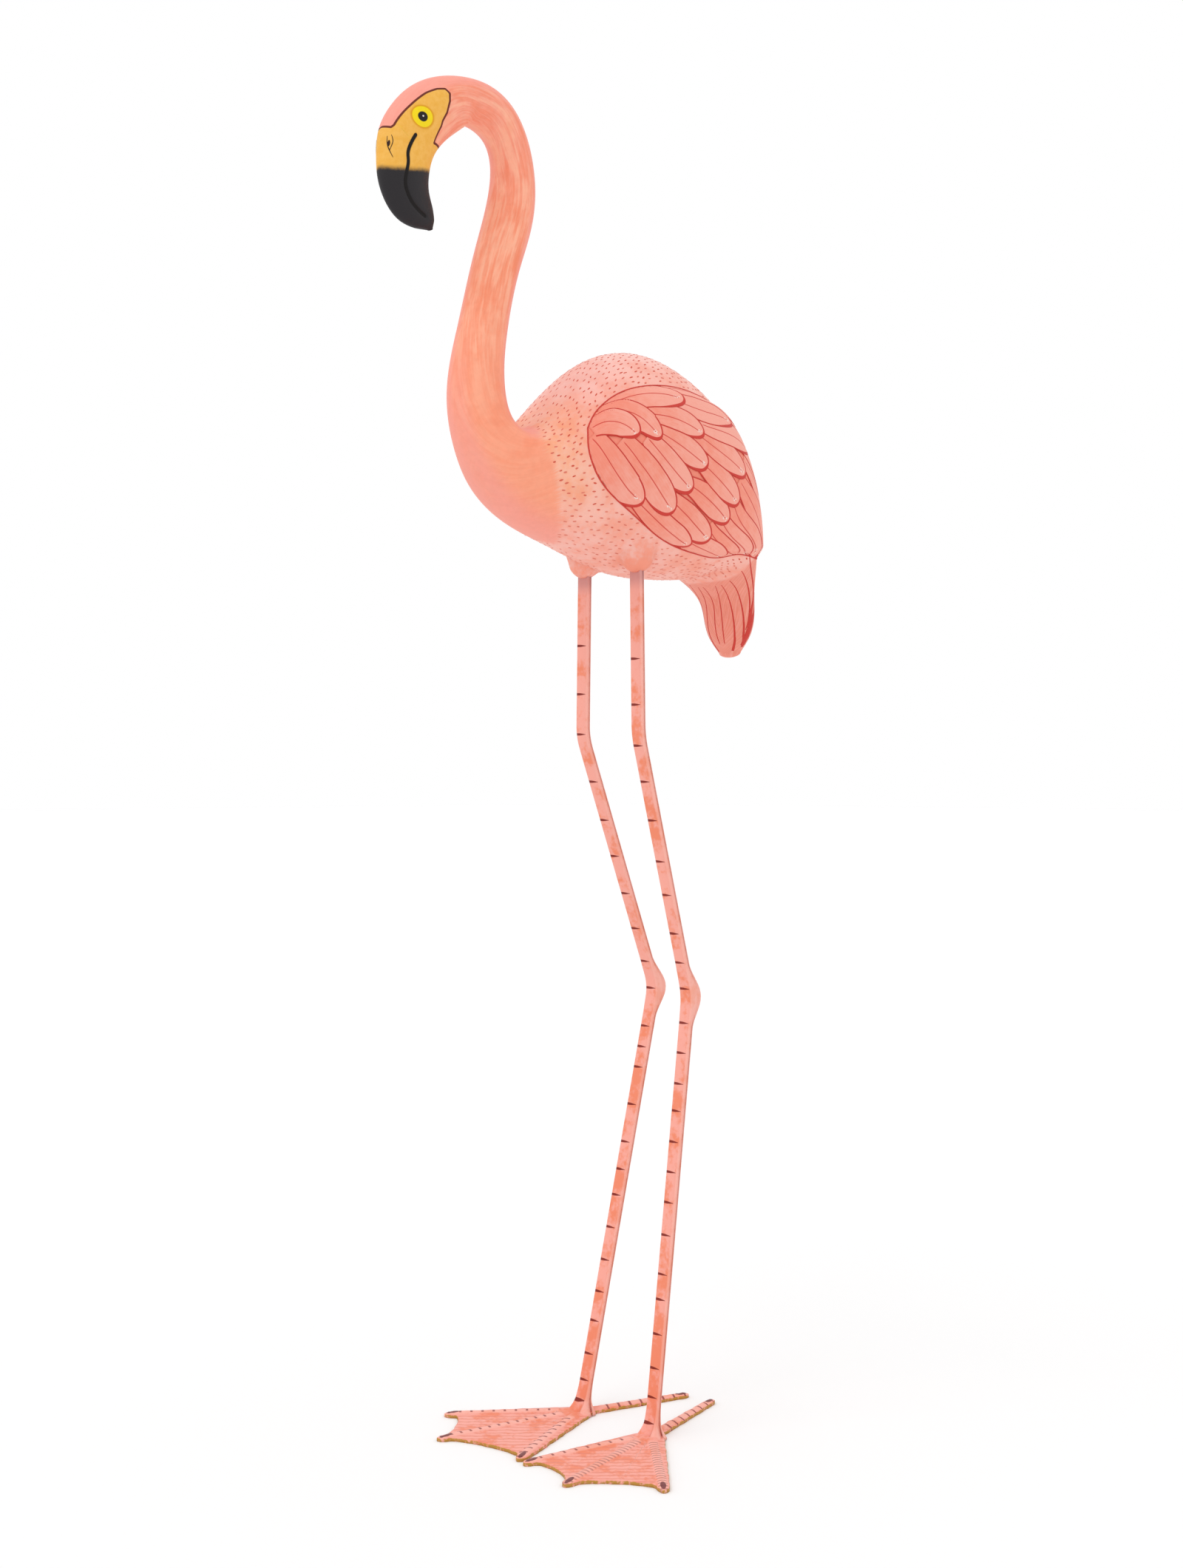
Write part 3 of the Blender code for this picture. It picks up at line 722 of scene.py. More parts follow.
def stroke_paint(name, colour, pale):
    """A loaded brush stroke of acrylic: dense, with its edge a little dry."""
    made, tree, shader = started(name)
    load, _, _ = layer(tree, "load")
    mottle = grain(add(tree, "TexCoord").part("Object"), 260, 3)
    mixed = coats(pale, ((mottle * 0.5 + load).band(0.20, 1.15), colour))
    finished(shader, mixed, mottle * 0.2 + 0.45, MATT_GLOSS)
    return made


def painted_steel(colours, marks):
    """Steel bar and plate, brushed with satin paint: a thin coat that shows its strokes."""
    made, tree, shader = started("painted steel")
    across, _, height = layer(tree, "bar")
    dash_phase, dash_gap, is_foot = layer(tree, "dash")
    toe_along, toe_across, rim = layer(tree, "toe")
    ankle, depth, dash_shift = layer(tree, "plate")
    where = add(tree, "TexCoord").part("Object")
    blotches = grain(where, 42, 3)  # about 24 mm
    mottle = grain(where, 220, 4, 0.6)  # about 4.5 mm
    on_foot, off_foot = is_foot.band(0.4, 0.5), is_foot.band(0.5, 0.4)
    warm = height.band(340.0, 80.0) * off_foot * 0.08 + blotches + mottle * 0.45

    # A slanting dash across the bar at each height, broad at its outer end
    from_dash = (dash_phase.maths("FRACT") - 0.5) * dash_gap
    from_dash = abs(across * 0.03 + from_dash)
    reach = across.band(7.4, -4.0)
    over = from_dash - reach * (marks.leg_dash / 2 / MILLIMETRE)
    dashes = over.band(0.25, -0.15) * reach.band(0.02, 0.10)
    dashes = dashes * off_foot * height.band(8.0, 10.0) * 0.95

    # The foot: ripples over the web, a painted highlight down the middle of each toe, dashes across
    # the toes, claws behind the tips
    ripple = (grain(where, 70, 2) * 7.0 + depth) * (2 * math.pi / marks.ripple * MILLIMETRE)
    beside = abs(toe_across)
    web = beside.band(4.0, 7.0) * on_foot
    toe_highlight = beside.band(5.0, 3.4) * on_foot * ankle.band(18.0, 28.0)
    arcs = from_dash.band(1.5, 0.9) * abs(toe_across + dash_shift).band(5.2, 4.0) * on_foot
    arcs = arcs * ankle.band(20.0, 26.0) * (dash_shift * 0.18 + 0.50)
    claw = add(tree, "CombineXYZ", (toe_along * 0.42, toe_across))
    claw = add(tree, "VectorMath", (claw, (-4.0, 0.0, 0.0)), operation="DISTANCE").part("Value")
    bare = (rim - (mottle * 2.6 - 1.1)).band(0.2, -0.2)  # chipped off the edge to ochre primer
    colour = coats(
        colours.leg,
        (warm.band(0.68, 0.88) * 0.80, colours.leg_warm),
        # Painted highlight along the bar's left side edge
        (across.band(5.5, 7.6) * 0.5, colours.leg_highlight),
        # Painted shade on the top of each bar, just under the belly
        (height.band(845.0, 863.0) * 0.55, colours.belly_shade),
        (dashes, colours.dash),
        (ripple.maths("SINE").band(0.10, 0.95) * web * 0.70, colours.ripple),
        # Painted highlight down the middle of each toe's ridge
        (toe_highlight * 0.5, colours.leg_highlight),
        (arcs, colours.toe_dash),
        (claw.band(3.1, 2.5) * on_foot * 0.92, colours.claw),
        (bare * on_foot, colours.plate_edge),
    )
    finished(shader, colour, mottle * 0.18 + 0.36, SATIN_GLOSS, blotches * 2.0 + mottle, 0.0002)
    return made


# The bird


def zone_distance(bird, edge, stations, degrees, points):
    """Millimetres from each point to a paint edge, positive on the bill's side of it."""
    edge = np.array(edge, dtype=float)
    turns = np.linspace(0, 180, 181)
    line = bird.points(np.interp(turns, edge[:, 0], edge[:, 1]), turns)
    limit = np.interp(degrees, edge[:, 0], edge[:, 1])
    away = nearest_distance(points, line) / MILLIMETRE
    return np.where(stations < limit, away, -away)


def round_end(ring, inner, steps=6):
    """Rings that close an end like a fingertip, after ring and away from the ring before it."""
    middle = ring.mean(axis=0)
    size = np.linalg.norm(ring - middle, axis=1).min()
    out = unit(middle - inner.mean(axis=0))
    rings = []
    for k in range(1, steps + 1):
        turn = math.radians(90) * k / (steps + 0.3)
        rings.append(middle + (ring - middle) * math.cos(turn) + out * size * 0.7 * math.sin(turn))
    return rings


def shaped_hips(points, degrees):
    """Draws the belly down into a rounded swelling round each leg."""
    out = points.copy()
    for side in (1, -1):
        foot = leg_line(side, 0.0, LEG_HEIGHT)
        away = np.hypot(points[:, 0] - foot[0], points[:, 1] - foot[1]) / HIP_RADIUS
        dome = np.sqrt(1 - np.minimum(away, HIP_CORE) ** 2)
        dome -= HIP_CONE * np.maximum(away - HIP_CORE, 0)
        target = LEG_HEIGHT + HIP_RISE * (HIP_CORE - dome)
        gap = np.clip(0.5 + 0.5 * (out[:, 2] - target) / HIP_BLEND, 0, 1)
        lowered = out[:, 2] * (1 - gap) + target * gap - HIP_BLEND * gap * (1 - gap)
        under = (degrees > 100) & (degrees < 260) & (away < 2.2)
        out[:, 2] = np.where(under, np.minimum(out[:, 2], lowered), out[:, 2])
    return out


class FLAMINGO_OT_bird(bpy.types.Operator):
    """Builds the bird's surface, from the tip of its bill to the end of its tail"""

    bl_idname = "flamingo.bird"
    bl_label = "Build the bird"

    def execute(self, context):
        bird = Bird()
        places = [0.0]
        for first, last, spacing in RING_SPACING:
            start, end = bird.knots[first], bird.knots[last]
            reach = np.linspace(start, end, int((end - start) / spacing) + 1)[1:]
            places += list(np.interp(reach, bird.knots, np.arange(len(bird.knots))))
        degrees_round = np.arange(SIDES) * 360 / SIDES
        stations, degrees = np.meshgrid(places, degrees_round, indexing="ij")
        shape = stations.shape
        stations, degrees = stations.ravel(), degrees.ravel()
        half_turn = np.where(degrees > 180, 360 - degrees, degrees)
        smooth = bird.points(stations, degrees)
        left = bird.points(stations, half_turn)

        # What the paint reads: distances over the surface and to the edges of each zone
        grid = left.reshape(*shape, 3) / MILLIMETRE
        along = travelled(grid)
        along -= along[np.argmin(np.abs(np.array(places) - 17))][None, :]
        girth = travelled(grid.transpose(1, 0, 2)).T
        mirrored = girth[:, [-i % SIDES for i in range(SIDES)]]
        girth = np.where(degrees_round[None, :] > 180, mirrored, girth)
        neck, tail, face, bill = (
            zone_distance(bird, edge, stations, half_turn, left)
            for edge in (NECK_EDGE, TAIL_EDGE, FACE_EDGE, BILL_EDGE)
        )
        mouth = np.array(MOUTH_LINE, dtype=float)
        mouth = spline(np.arange(len(mouth)), mouth, np.linspace(0, len(mouth) - 1, 120))
        mouth = nearest_distance(left, bird.points(mouth[:, 0], mouth[:, 1])) / MILLIMETRE
        out = bird.normals(*EYE_PLACE)[0]
        up = unit(np.array((0.0, 0.0, 1.0)) - out * out[2])
        from_eye = (left - bird.points(*EYE_PLACE)[0]) / MILLIMETRE
        near = np.linalg.norm(from_eye, axis=1) < 25
        eye = [np.where(near, from_eye @ way, FAR_AWAY) for way in (np.cross(up, out), up)]
        breast = smooth_step(-75, 0, neck) * smooth_step(-50, 30, half_turn)
        breast *= smooth_step(165, 110, half_turn)
        foot = leg_line(1, 0.0, LEG_HEIGHT)
        hip = np.hypot(left[:, 0] - foot[0], left[:, 1] - foot[1])
        hip = np.where(half_turn > 90, hip / MILLIMETRE, FAR_AWAY)

        # The wing's pad under its feathers, the mouth's groove and the hips
        wing = bird.in_wing(stations, half_turn)
        under = WING_COVER * smooth_step(-0.001, 0.003, wing)
        groove = GROOVE_DEPTH * np.exp(-((mouth / GROOVE_HALF) ** 2))
        normals = bird.normals(stations, degrees)
        raised = bird.wing_height(stations, wing) - under - groove
        points = shaped_hips(smooth + normals * raised[:, None], degrees)

        # The bill draws in to a rounded tip over its last few millimetres
        rings = list(points.reshape(*shape, 3))
        for k in np.flatnonzero(np.array(places) < BILL_TIP):
            near = 1 - places[k] / BILL_TIP
            middle = rings[k].mean(axis=0)
            rings[k] = middle + (rings[k] - middle) * (1 - BILL_TIP_SHARE * near**2)
        head = round_end(rings[0], rings[1])[::-1]
        end = round_end(rings[-1], rings[-2])
        rings = head + rings + end

        def layer_of(*parts):
            """Three values at each point, those of the first and last ring kept for the ends."""
            values = np.stack(parts, axis=1).reshape(*shape, 3)
            first, last = [values[:1]] * len(head), [values[-1:]] * len(end)
            return np.concatenate(first + [values] + last).reshape(-1, 3)

        # 1 where the neck's left front faces, where the salmon is fullest, and 0 at its sides
        full = np.cos(np.radians(degrees - 128))
        layers = {
            "place": layer_of(along.ravel(), girth.ravel(), half_turn / 180),
            "zones": layer_of(neck, tail, bill),
            "head": layer_of(face, mouth, breast),
            "eye": layer_of(*eye, full),
            "under": layer_of(wing / MILLIMETRE, hip, np.zeros(len(stations))),
        }
        faces = tube_faces(len(rings), SIDES)
        scene = context.scene
        finish = painted_papier_mache(scene.flamingo_colours, scene.flamingo_marks)
        piece = mesh_piece("bird", np.concatenate(rings), faces, layers, finish)
        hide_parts("body")
        return {"FINISHED"}


def mirrored_points(bird, points, side):
    """The points of a piece of the left side, moved over to the given side."""
    placed = points.copy()
    placed[:, 0] = (points[:, 0] - bird.shift[0]) * side + bird.shift[0]
    return placed


class FLAMINGO_OT_dots(bpy.types.Operator):
    """Dabs the staggered dots on the bird's body"""

    bl_idname = "flamingo.dots"
    bl_label = "Dab the dots"

    def execute(self, context):
        bird = Bird()
        marks, colours = context.scene.flamingo_marks, context.scene.flamingo_colours
        chance = np.random.default_rng(3)
        fine = np.linspace(*DOT_STATIONS, 700)
        gone = travelled(bird.points(fine, np.full(len(fine), 100.0)))
        turns = np.linspace(0, 180, 181)
        places = []
        for number, reach in enumerate(np.arange(0, gone[-1], marks.dot_step)):
            station = np.interp(reach, gone, fine)
            round_it = travelled(bird.points(np.full(len(turns), station), turns))
            first = (number % 2) * marks.dot_row / 2 + 0.002
            rows = np.arange(first, round_it[-1], marks.dot_row)
            places += [(station, turn) for turn in np.interp(rows, round_it, turns)]
        places = np.array(places) + chance.normal(0, 1, (len(places), 2)) * np.array((0.022, 0.35))
        stations, degrees = places.T
        middles = bird.points(stations, degrees)
        neck, tail = (
            zone_distance(bird, edge, stations, degrees, middles) for edge in (NECK_EDGE, TAIL_EDGE)
        )
        moved = shaped_hips(middles, degrees) - middles
        kept = (neck < -1) & (tail > 5) & (bird.in_wing(stations, degrees) < -0.003)
        kept &= (np.abs(moved[:, 2]) < 0.00005) & (degrees < 176)
        stations, degrees, middles = stations[kept], degrees[kept], middles[kept]

        normals = bird.normals(stations, degrees)
        along = unit(bird.points(stations + 0.01, degrees) - middles)
        upward = np.cross(along, normals)
        upward *= np.sign(upward[:, 2:3] + 1e-9)
        tilt = np.radians(DOT_SLANT + chance.normal(0, 9, len(stations)))[:, None]
        long_way = along * np.cos(tilt) + upward * np.sin(tilt)
        short_way = np.cross(normals, long_way)
        sizes = chance.uniform(0.8, 1.15, (len(stations), 2))
        rim = np.linspace(0, 2 * math.pi, DOT_SIDES, endpoint=False)[:, None]
        long, short = (sizes * (marks.dot_length, marks.dot_width) / 2).T[:, :, None, None]
        flat = long_way[:, None] * np.cos(rim) * long + short_way[:, None] * np.sin(rim) * short
        tops = middles[:, None] + flat + normals[:, None] * PROUD * 1.5
        bottoms = middles[:, None] + flat * 0.8 - normals[:, None] * SUNK / 2
        block = np.concatenate([tops, bottoms], axis=1).reshape(-1, 3)
        far_side = mirrored_points(bird, block, -1)
        load = chance.uniform(0.35, 1.0, len(stations))
        load *= 1 - 0.6 * smooth_step(112, 160, degrees)  # drier under the belly
        faces = []
        for dot in range(len(stations)):
            first = dot * 2 * DOT_SIDES
            top = [first + k for k in range(DOT_SIDES)]
            low = [v + DOT_SIDES for v in top]
            faces += [tuple(top), tuple(reversed(low))]
            faces += [
                (low[k], low[(k + 1) % DOT_SIDES], top[(k + 1) % DOT_SIDES], top[k])
                for k in range(DOT_SIDES)
            ]
        layers = {"load": np.repeat(np.column_stack([load, load, load]), 2 * DOT_SIDES, axis=0)}
        both_sides = joined([(block, faces, layers), (far_side, turned_over(faces), layers)])
        finish = stroke_paint("painted dots", colours.dot, colours.dot_faint)
        piece = mesh_piece("painted_dots", *both_sides, finish)
        piece.data.shade_flat()
        return {"FINISHED"}


def kept_inside(bird, stations, degrees):
    """The places of a feather, those outside the wing's edge brought in to it."""
    middle = np.array(WING_MIDDLE, dtype=float) + np.array((FIRST_WING_STATION, 0))
    places = np.column_stack([stations, degrees])
    outside = np.flatnonzero(bird.in_wing(stations, degrees) < EDGE_MARGIN)
    if len(outside):
        ways = places[outside] - middle
        low, high = np.zeros(len(outside)), np.ones(len(outside))
        for _ in range(9):
            half = (low + high) / 2
            tried = middle + ways * half[:, None]
            fits = bird.in_wing(tried[:, 0], tried[:, 1]) > EDGE_MARGIN
            low, high = np.where(fits, half, low), np.where(fits, high, half)
        places[outside] = middle + ways * low[:, None]
    return places[:, 0], places[:, 1]


def surface_places(bird, line, sideways, offsets):
    """Places beside each point of a line on the surface, at distances in metres to its side."""
    middle = bird.points(line[:, 0], line[:, 1])
    by_station = (bird.points(line[:, 0] + 0.01, line[:, 1]) - middle) / 0.01
    by_degree = (bird.points(line[:, 0], line[:, 1] + 0.5) - middle) / 0.5
    places = []
    for k, way in enumerate(sideways):
        slopes = np.stack([by_station[k], by_degree[k]], axis=1)
        per_metre = np.linalg.lstsq(slopes, way, rcond=None)[0]
        places += [line[k, :2] + per_metre * offset for offset in offsets[k]]
    return np.array(places)


def feather_sheet(bird, row, level, side, tone):
    """One feather as a thin closed sheet on the wing: points, faces and what its paint reads."""
    base, middle, tip, lower, upper = row
    knots = np.array((base, middle, tip), dtype=float)
    turns = np.linspace(0, 1, 24)[1:] * math.pi / 2
    tip_share = 1 - FEATHER_STRAIGHT
    steps = np.linspace(0, FEATHER_STRAIGHT, 22)
    steps = np.concatenate([steps, FEATHER_STRAIGHT + tip_share * np.sin(turns)])
    bend = 2 * knots[1] - (knots[0] + knots[2]) / 2
    u = steps[:, None]
    line = (1 - u) ** 2 * knots[0] + 2 * u * (1 - u) * bend + u * u * knots[2]
    spine = bird.points(line[:, 0], line[:, 1])
    normals = bird.normals(line[:, 0], line[:, 1])
    sideways = unit(np.cross(normals, unit(np.gradient(spine, axis=0))))
    opening = np.sin(np.clip(steps / 0.5, 0, 1) * math.pi / 2)
    opening = FEATHER_BASE + (1 - FEATHER_BASE) * opening
    full = np.where(steps < FEATHER_STRAIGHT, opening, 1.0)
    closing = np.clip((steps - FEATHER_STRAIGHT) / tip_share, 0, 1)
    profile = full * np.sqrt(np.clip(1 - closing**FEATHER_ROUND, 0, 1))
    profile[-1] = 0.02
    ones = np.linspace(-1, 1, 17)
    halves = np.where(ones > 0, upper, lower) * ones * MILLIMETRE
    flat_x = profile[:, None] * halves[None, :]
    places = surface_places(bird, line, sideways, flat_x)
    stations, degrees = kept_inside(bird, places[:, 0], places[:, 1])
    rows, columns = flat_x.shape
    flat_y = np.repeat(travelled(spine)[:, None], columns, axis=1)
    flat = np.stack([flat_x.ravel(), flat_y.ravel()], axis=1).reshape(rows, columns, 2)
    rim = np.concatenate([flat[:, 0], flat[::-1, -1]])
    from_rim = nearest_distance(flat.reshape(-1, 2), rim)
    within = bird.in_wing(stations, degrees)
    pad = bird.wing_height(stations, within)
    lift = level * smooth_step(0.0, 0.008, within)
    top = bird.raised(stations, degrees, pad + lift + PROUD)
    bottom = bird.raised(stations, degrees, pad - SUNK)
    points = mirrored_points(bird, np.concatenate([top, bottom]), side)
    faces = shell_faces(rows, columns)
    corner = columns * 5 + 8
    beside, behind = top[corner + 1] - top[corner], top[corner + columns] - top[corner]
    if (normals[5] @ np.cross(beside, behind) > 0) != (side > 0):
        faces = turned_over(faces)
    upside = 1.0 if sideways[:, 2].mean() > 0 else -1.0
    share = np.repeat(steps, columns)
    across = flat_x.ravel() / MILLIMETRE * upside
    feather = np.stack([from_rim / MILLIMETRE, across, share], axis=1)
    stroke = np.column_stack([flat_y.ravel() / MILLIMETRE, np.full(len(share), tone), share])
    return points, faces, {"feather": np.tile(feather, (2, 1)), "stroke": np.tile(stroke, (2, 1))}


class FLAMINGO_OT_wings(bpy.types.Operator):
    """Lays the painted feathers of both folded wings"""

    bl_idname = "flamingo.wings"
    bl_label = "Build the wings"

    def execute(self, context):
        bird = Bird()
        scene = context.scene
        finish = feather_paint(scene.flamingo_colours, scene.flamingo_marks)
        chance = np.random.default_rng(7)
        heights = np.array([row[2][1] for row in FEATHERS])
        tones = 0.2 + 0.7 * chance.random(len(FEATHERS)) + 0.9 * smooth_step(90, 45, heights)
        for side, name in ((1, "left_wing"), (-1, "right_wing")):
            sheets = [
                feather_sheet(bird, row, FEATHER_LEVEL * (k + 1), side, tones[k])
                for k, row in enumerate(FEATHERS)
            ]
            piece = mesh_piece(name, *joined(sheets), finish)
        return {"FINISHED"}


def brush_stroke(bird, path, side, load, on_wing):
    """A stroke of paint as a thin closed strip that follows the bird's surface."""
    path = np.array(path, dtype=float)
    at = np.linspace(0, len(path) - 1, 16 * (len(path) - 1))
    line = spline(np.arange(len(path)), path, at)
    middle = bird.points(line[:, 0], line[:, 1])
    normals = bird.normals(line[:, 0], line[:, 1])
    sideways = unit(np.cross(normals, unit(np.gradient(middle, axis=0))))
    half = np.maximum(line[:, 2:3], 0.3) / 2 * MILLIMETRE
    offsets = half * np.array((-1.0, -0.5, 0.0, 0.5, 1.0))
    places = surface_places(bird, line, sideways, offsets)
    rise, sunk = np.full(len(places), PROUD * 1.5), SUNK
    if on_wing:
        within = bird.in_wing(places[:, 0], places[:, 1])
        rise = bird.wing_height(places[:, 0], within) + PROUD * 4
        sunk = SUNK * 1.5
    top = bird.raised(places[:, 0], places[:, 1], rise)
    bottom = bird.raised(places[:, 0], places[:, 1], rise - PROUD * 1.5 - sunk)
    points = mirrored_points(bird, np.concatenate([top, bottom]), side)
    faces = shell_faces(len(line), 5)
    if (normals[3] @ np.cross(top[16] - top[15], top[20] - top[15]) > 0) != (side > 0):
        faces = turned_over(faces)
    return points, faces, {"load": np.full((len(points), 3), load)}


def stroke_piece(name, bird, paths, finish, load, on_wing=False):
    """Strokes of one paint on both sides of the bird, as one piece."""
    strokes = [
        brush_stroke(bird, path, side, load, on_wing) for side in (1, -1) for path in paths
    ]
    piece = mesh_piece(name, *joined(strokes), finish)


class FLAMINGO_OT_lines(bpy.types.Operator):
    """Draws the lines of the tail, the edge of each wing and the nostrils"""

    bl_idname = "flamingo.lines"
    bl_label = "Draw the lines"

    def execute(self, context):
        bird = Bird()
        colours = context.scene.flamingo_colours
        red = stroke_paint("painted red lines", colours.outline, colours.outline_dry)
        stroke_piece("tail_strokes", bird, TAIL_STROKES, red, 0.8)
        edge = [(FIRST_WING_STATION + s, d, WING_EDGE_LINE) for s, d in WING_OUTLINE]
        stroke_piece("wing_edges", bird, [edge + edge[:1]], red, 0.8, on_wing=True)
        dark = stroke_paint("painted dark lines", colours.line, colours.face_line)
        stroke_piece("nostrils", bird, NOSTRIL_STROKES, dark, 0.7)
        return {"FINISHED"}


# The legs and the feet


def leg_line(side, knee_back, height):
    """The middle of the bar at a height, as in the solids, in the frame of the solids."""
    across = HIP_SPACING / 2 + (ANKLE_SPACING - HIP_SPACING) / 2 * (1 - height / LEG_HEIGHT)
    heights = (0.0, KNEE_HEIGHT, BEND_HEIGHT, LEG_HEIGHT)
    back = np.interp(height, heights, (0.0, knee_back, HIP_BACK, HIP_BACK))
    shift = Bird.offset
    return np.array((side * across + shift[0], float(back) + shift[1], height))


def bar_ring(centre, width, depth, spread, corner=5):
    """Points round a level rectangle with rounded corners, and their places from its middle."""
    edge = min(BAR_EDGE + depth * 0.4 * spread, depth * 0.45, width * 0.45)
    ring = []
    for quarter, (sx, sy) in enumerate(((1, 1), (-1, 1), (-1, -1), (1, -1))):
        for turn in np.linspace(0, 90, corner):
            angle = math.radians(90 * quarter + turn)
            ring.append((
                sx * (width / 2 - edge) + edge * math.cos(angle),
                sy * (depth / 2 - edge) + edge * math.sin(angle),
            ))
        nx, ny = ((-1, 1), (-1, -1), (1, -1), (1, 1))[quarter]
        odd = quarter % 2
        start = np.array(ring[-1])
        end = np.array((nx * (width / 2 - edge * odd), ny * (depth / 2 - edge * (1 - odd))))
        ring += [start + (end - start) * s for s in (0.25, 0.5, 0.75)]
    ring = np.array(ring)
    placed = np.column_stack([ring + centre[:2], np.full(len(ring), centre[2])])
    return placed, ring / MILLIMETRE


def leg_bar(side, knee_back, dashes):
    """The bar with its knee and its flare: points, faces and what its paint reads."""
    low = np.linspace(PLATE_THICKNESS / 3, FLARE_HEIGHT, 16)
    high = np.arange(FLARE_HEIGHT + BAR_STEP, LEG_HEIGHT + 2 * BAR_STEP, BAR_STEP)
    rings, locals_ = [], []
    for height in np.concatenate([low, high]):
        centre = leg_line(side, knee_back, height)
        if height > FLARE_HEIGHT:
            near = np.clip(height + np.linspace(-KNEE_BEND, KNEE_BEND, 7), 0, LEG_HEIGHT)
            centre[1] = np.mean([leg_line(side, knee_back, h)[1] for h in near])
        spread = max(0.0, 1 - (height - low[0]) / (FLARE_HEIGHT - low[0])) ** 2.4
        weld = WELD_WIDTH * max(0.0, 1 - (height - low[0]) / WELD_HEIGHT) ** 2
        share = np.clip((height - KNEE_HEIGHT) / (KNEE_LENGTH / 2), -1, 1)
        swell = KNEE_SWELL * (0.5 + 0.5 * math.cos(math.pi * share)) ** 0.8
        width = BAR_WIDTH + (FLARE_WIDTH - BAR_WIDTH) * spread + swell * 0.12 + weld
        depth = BAR_DEPTH + (FLARE_DEPTH - BAR_DEPTH) * spread + swell + weld
        centre[1] += swell / 2
        placed, local = bar_ring(centre, width, depth, spread)
        rings.append(placed)
        locals_.append(local)
    points, local = np.concatenate(rings), np.concatenate(locals_)
    faces = turned_over(tube_faces(len(rings), len(rings[0])))
    height = points[:, 2] / MILLIMETRE
    marks = np.array(sorted(dashes)) / MILLIMETRE
    phase = np.interp(height, marks, np.arange(len(marks)) + 0.5)
    phase = np.where(height < marks[0], 0.5 + (height - marks[0]) / 40, phase)
    above = np.clip((height - marks[-1]) / 50, 0, 0.45)
    phase = np.where(height > marks[-1], len(marks) - 0.5 + above, phase)
    gaps = np.interp(phase, np.arange(len(marks) - 1) + 1.0, np.diff(marks))
    zeros = np.zeros(len(points))
    layers = {
        "bar": np.column_stack([local, height]),
        "dash": np.column_stack([phase, gaps, zeros]),
        "toe": np.column_stack([zeros, zeros + 50, zeros + 50]),
        "plate": np.column_stack([zeros, zeros, zeros]),
    }
    return points, faces, layers


def toe_point(angle, along, beside=0.0):
    """A place on the floor, along a toe that points angle to the bird's left of straight ahead."""
    forward = np.array((math.sin(angle), -math.cos(angle)))
    left = np.array((math.cos(angle), math.sin(angle)))
    return forward * along + left * beside


def web_edge(start, end, steps=5):
    inward = -unit(start + end)
    shares = [k / steps for k in range(1, steps)]
    return [start + (end - start) * s + inward * WEB_SAG * 4 * s * (1 - s) for s in shares]


def foot_outline(toes, turn, hind):
    """The plate's outline round the ankle, as in the solids."""
    half_toe, half_hind = TOE_WIDTH / 2, HIND_TOE_WIDTH / 2
    angles = [turn + fan for fan in TOE_FAN]
    outline = [
        toe_point(hind, HEEL_WIDTH / 2, half_hind * 1.4),
        toe_point(angles[0], half_toe, -HEEL_WIDTH / 2),
    ]
    for k, (angle, reach) in enumerate(zip(angles, toes)):
        if k > 0:
            joins = toe_point(angle, reach - WEB_SET_BACK, -half_toe)
            outline += web_edge(outline[-1], joins) + [joins]
        outline += [toe_point(angle, reach - half_toe * b, half_toe * a) for a, b in TOE_TIP]
        if k < 2:
            outline.append(toe_point(angle, reach - WEB_SET_BACK, half_toe))
    outline += [
        toe_point(angles[2], half_toe, HEEL_WIDTH / 2),
        toe_point(hind, HEEL_WIDTH / 2, -half_hind * 1.4),
    ]
    outline += [
        toe_point(hind, HIND_TOE_LENGTH - half_hind * b, half_hind * a) for a, b in HIND_TOE_TIP
    ]
    return np.array(outline)


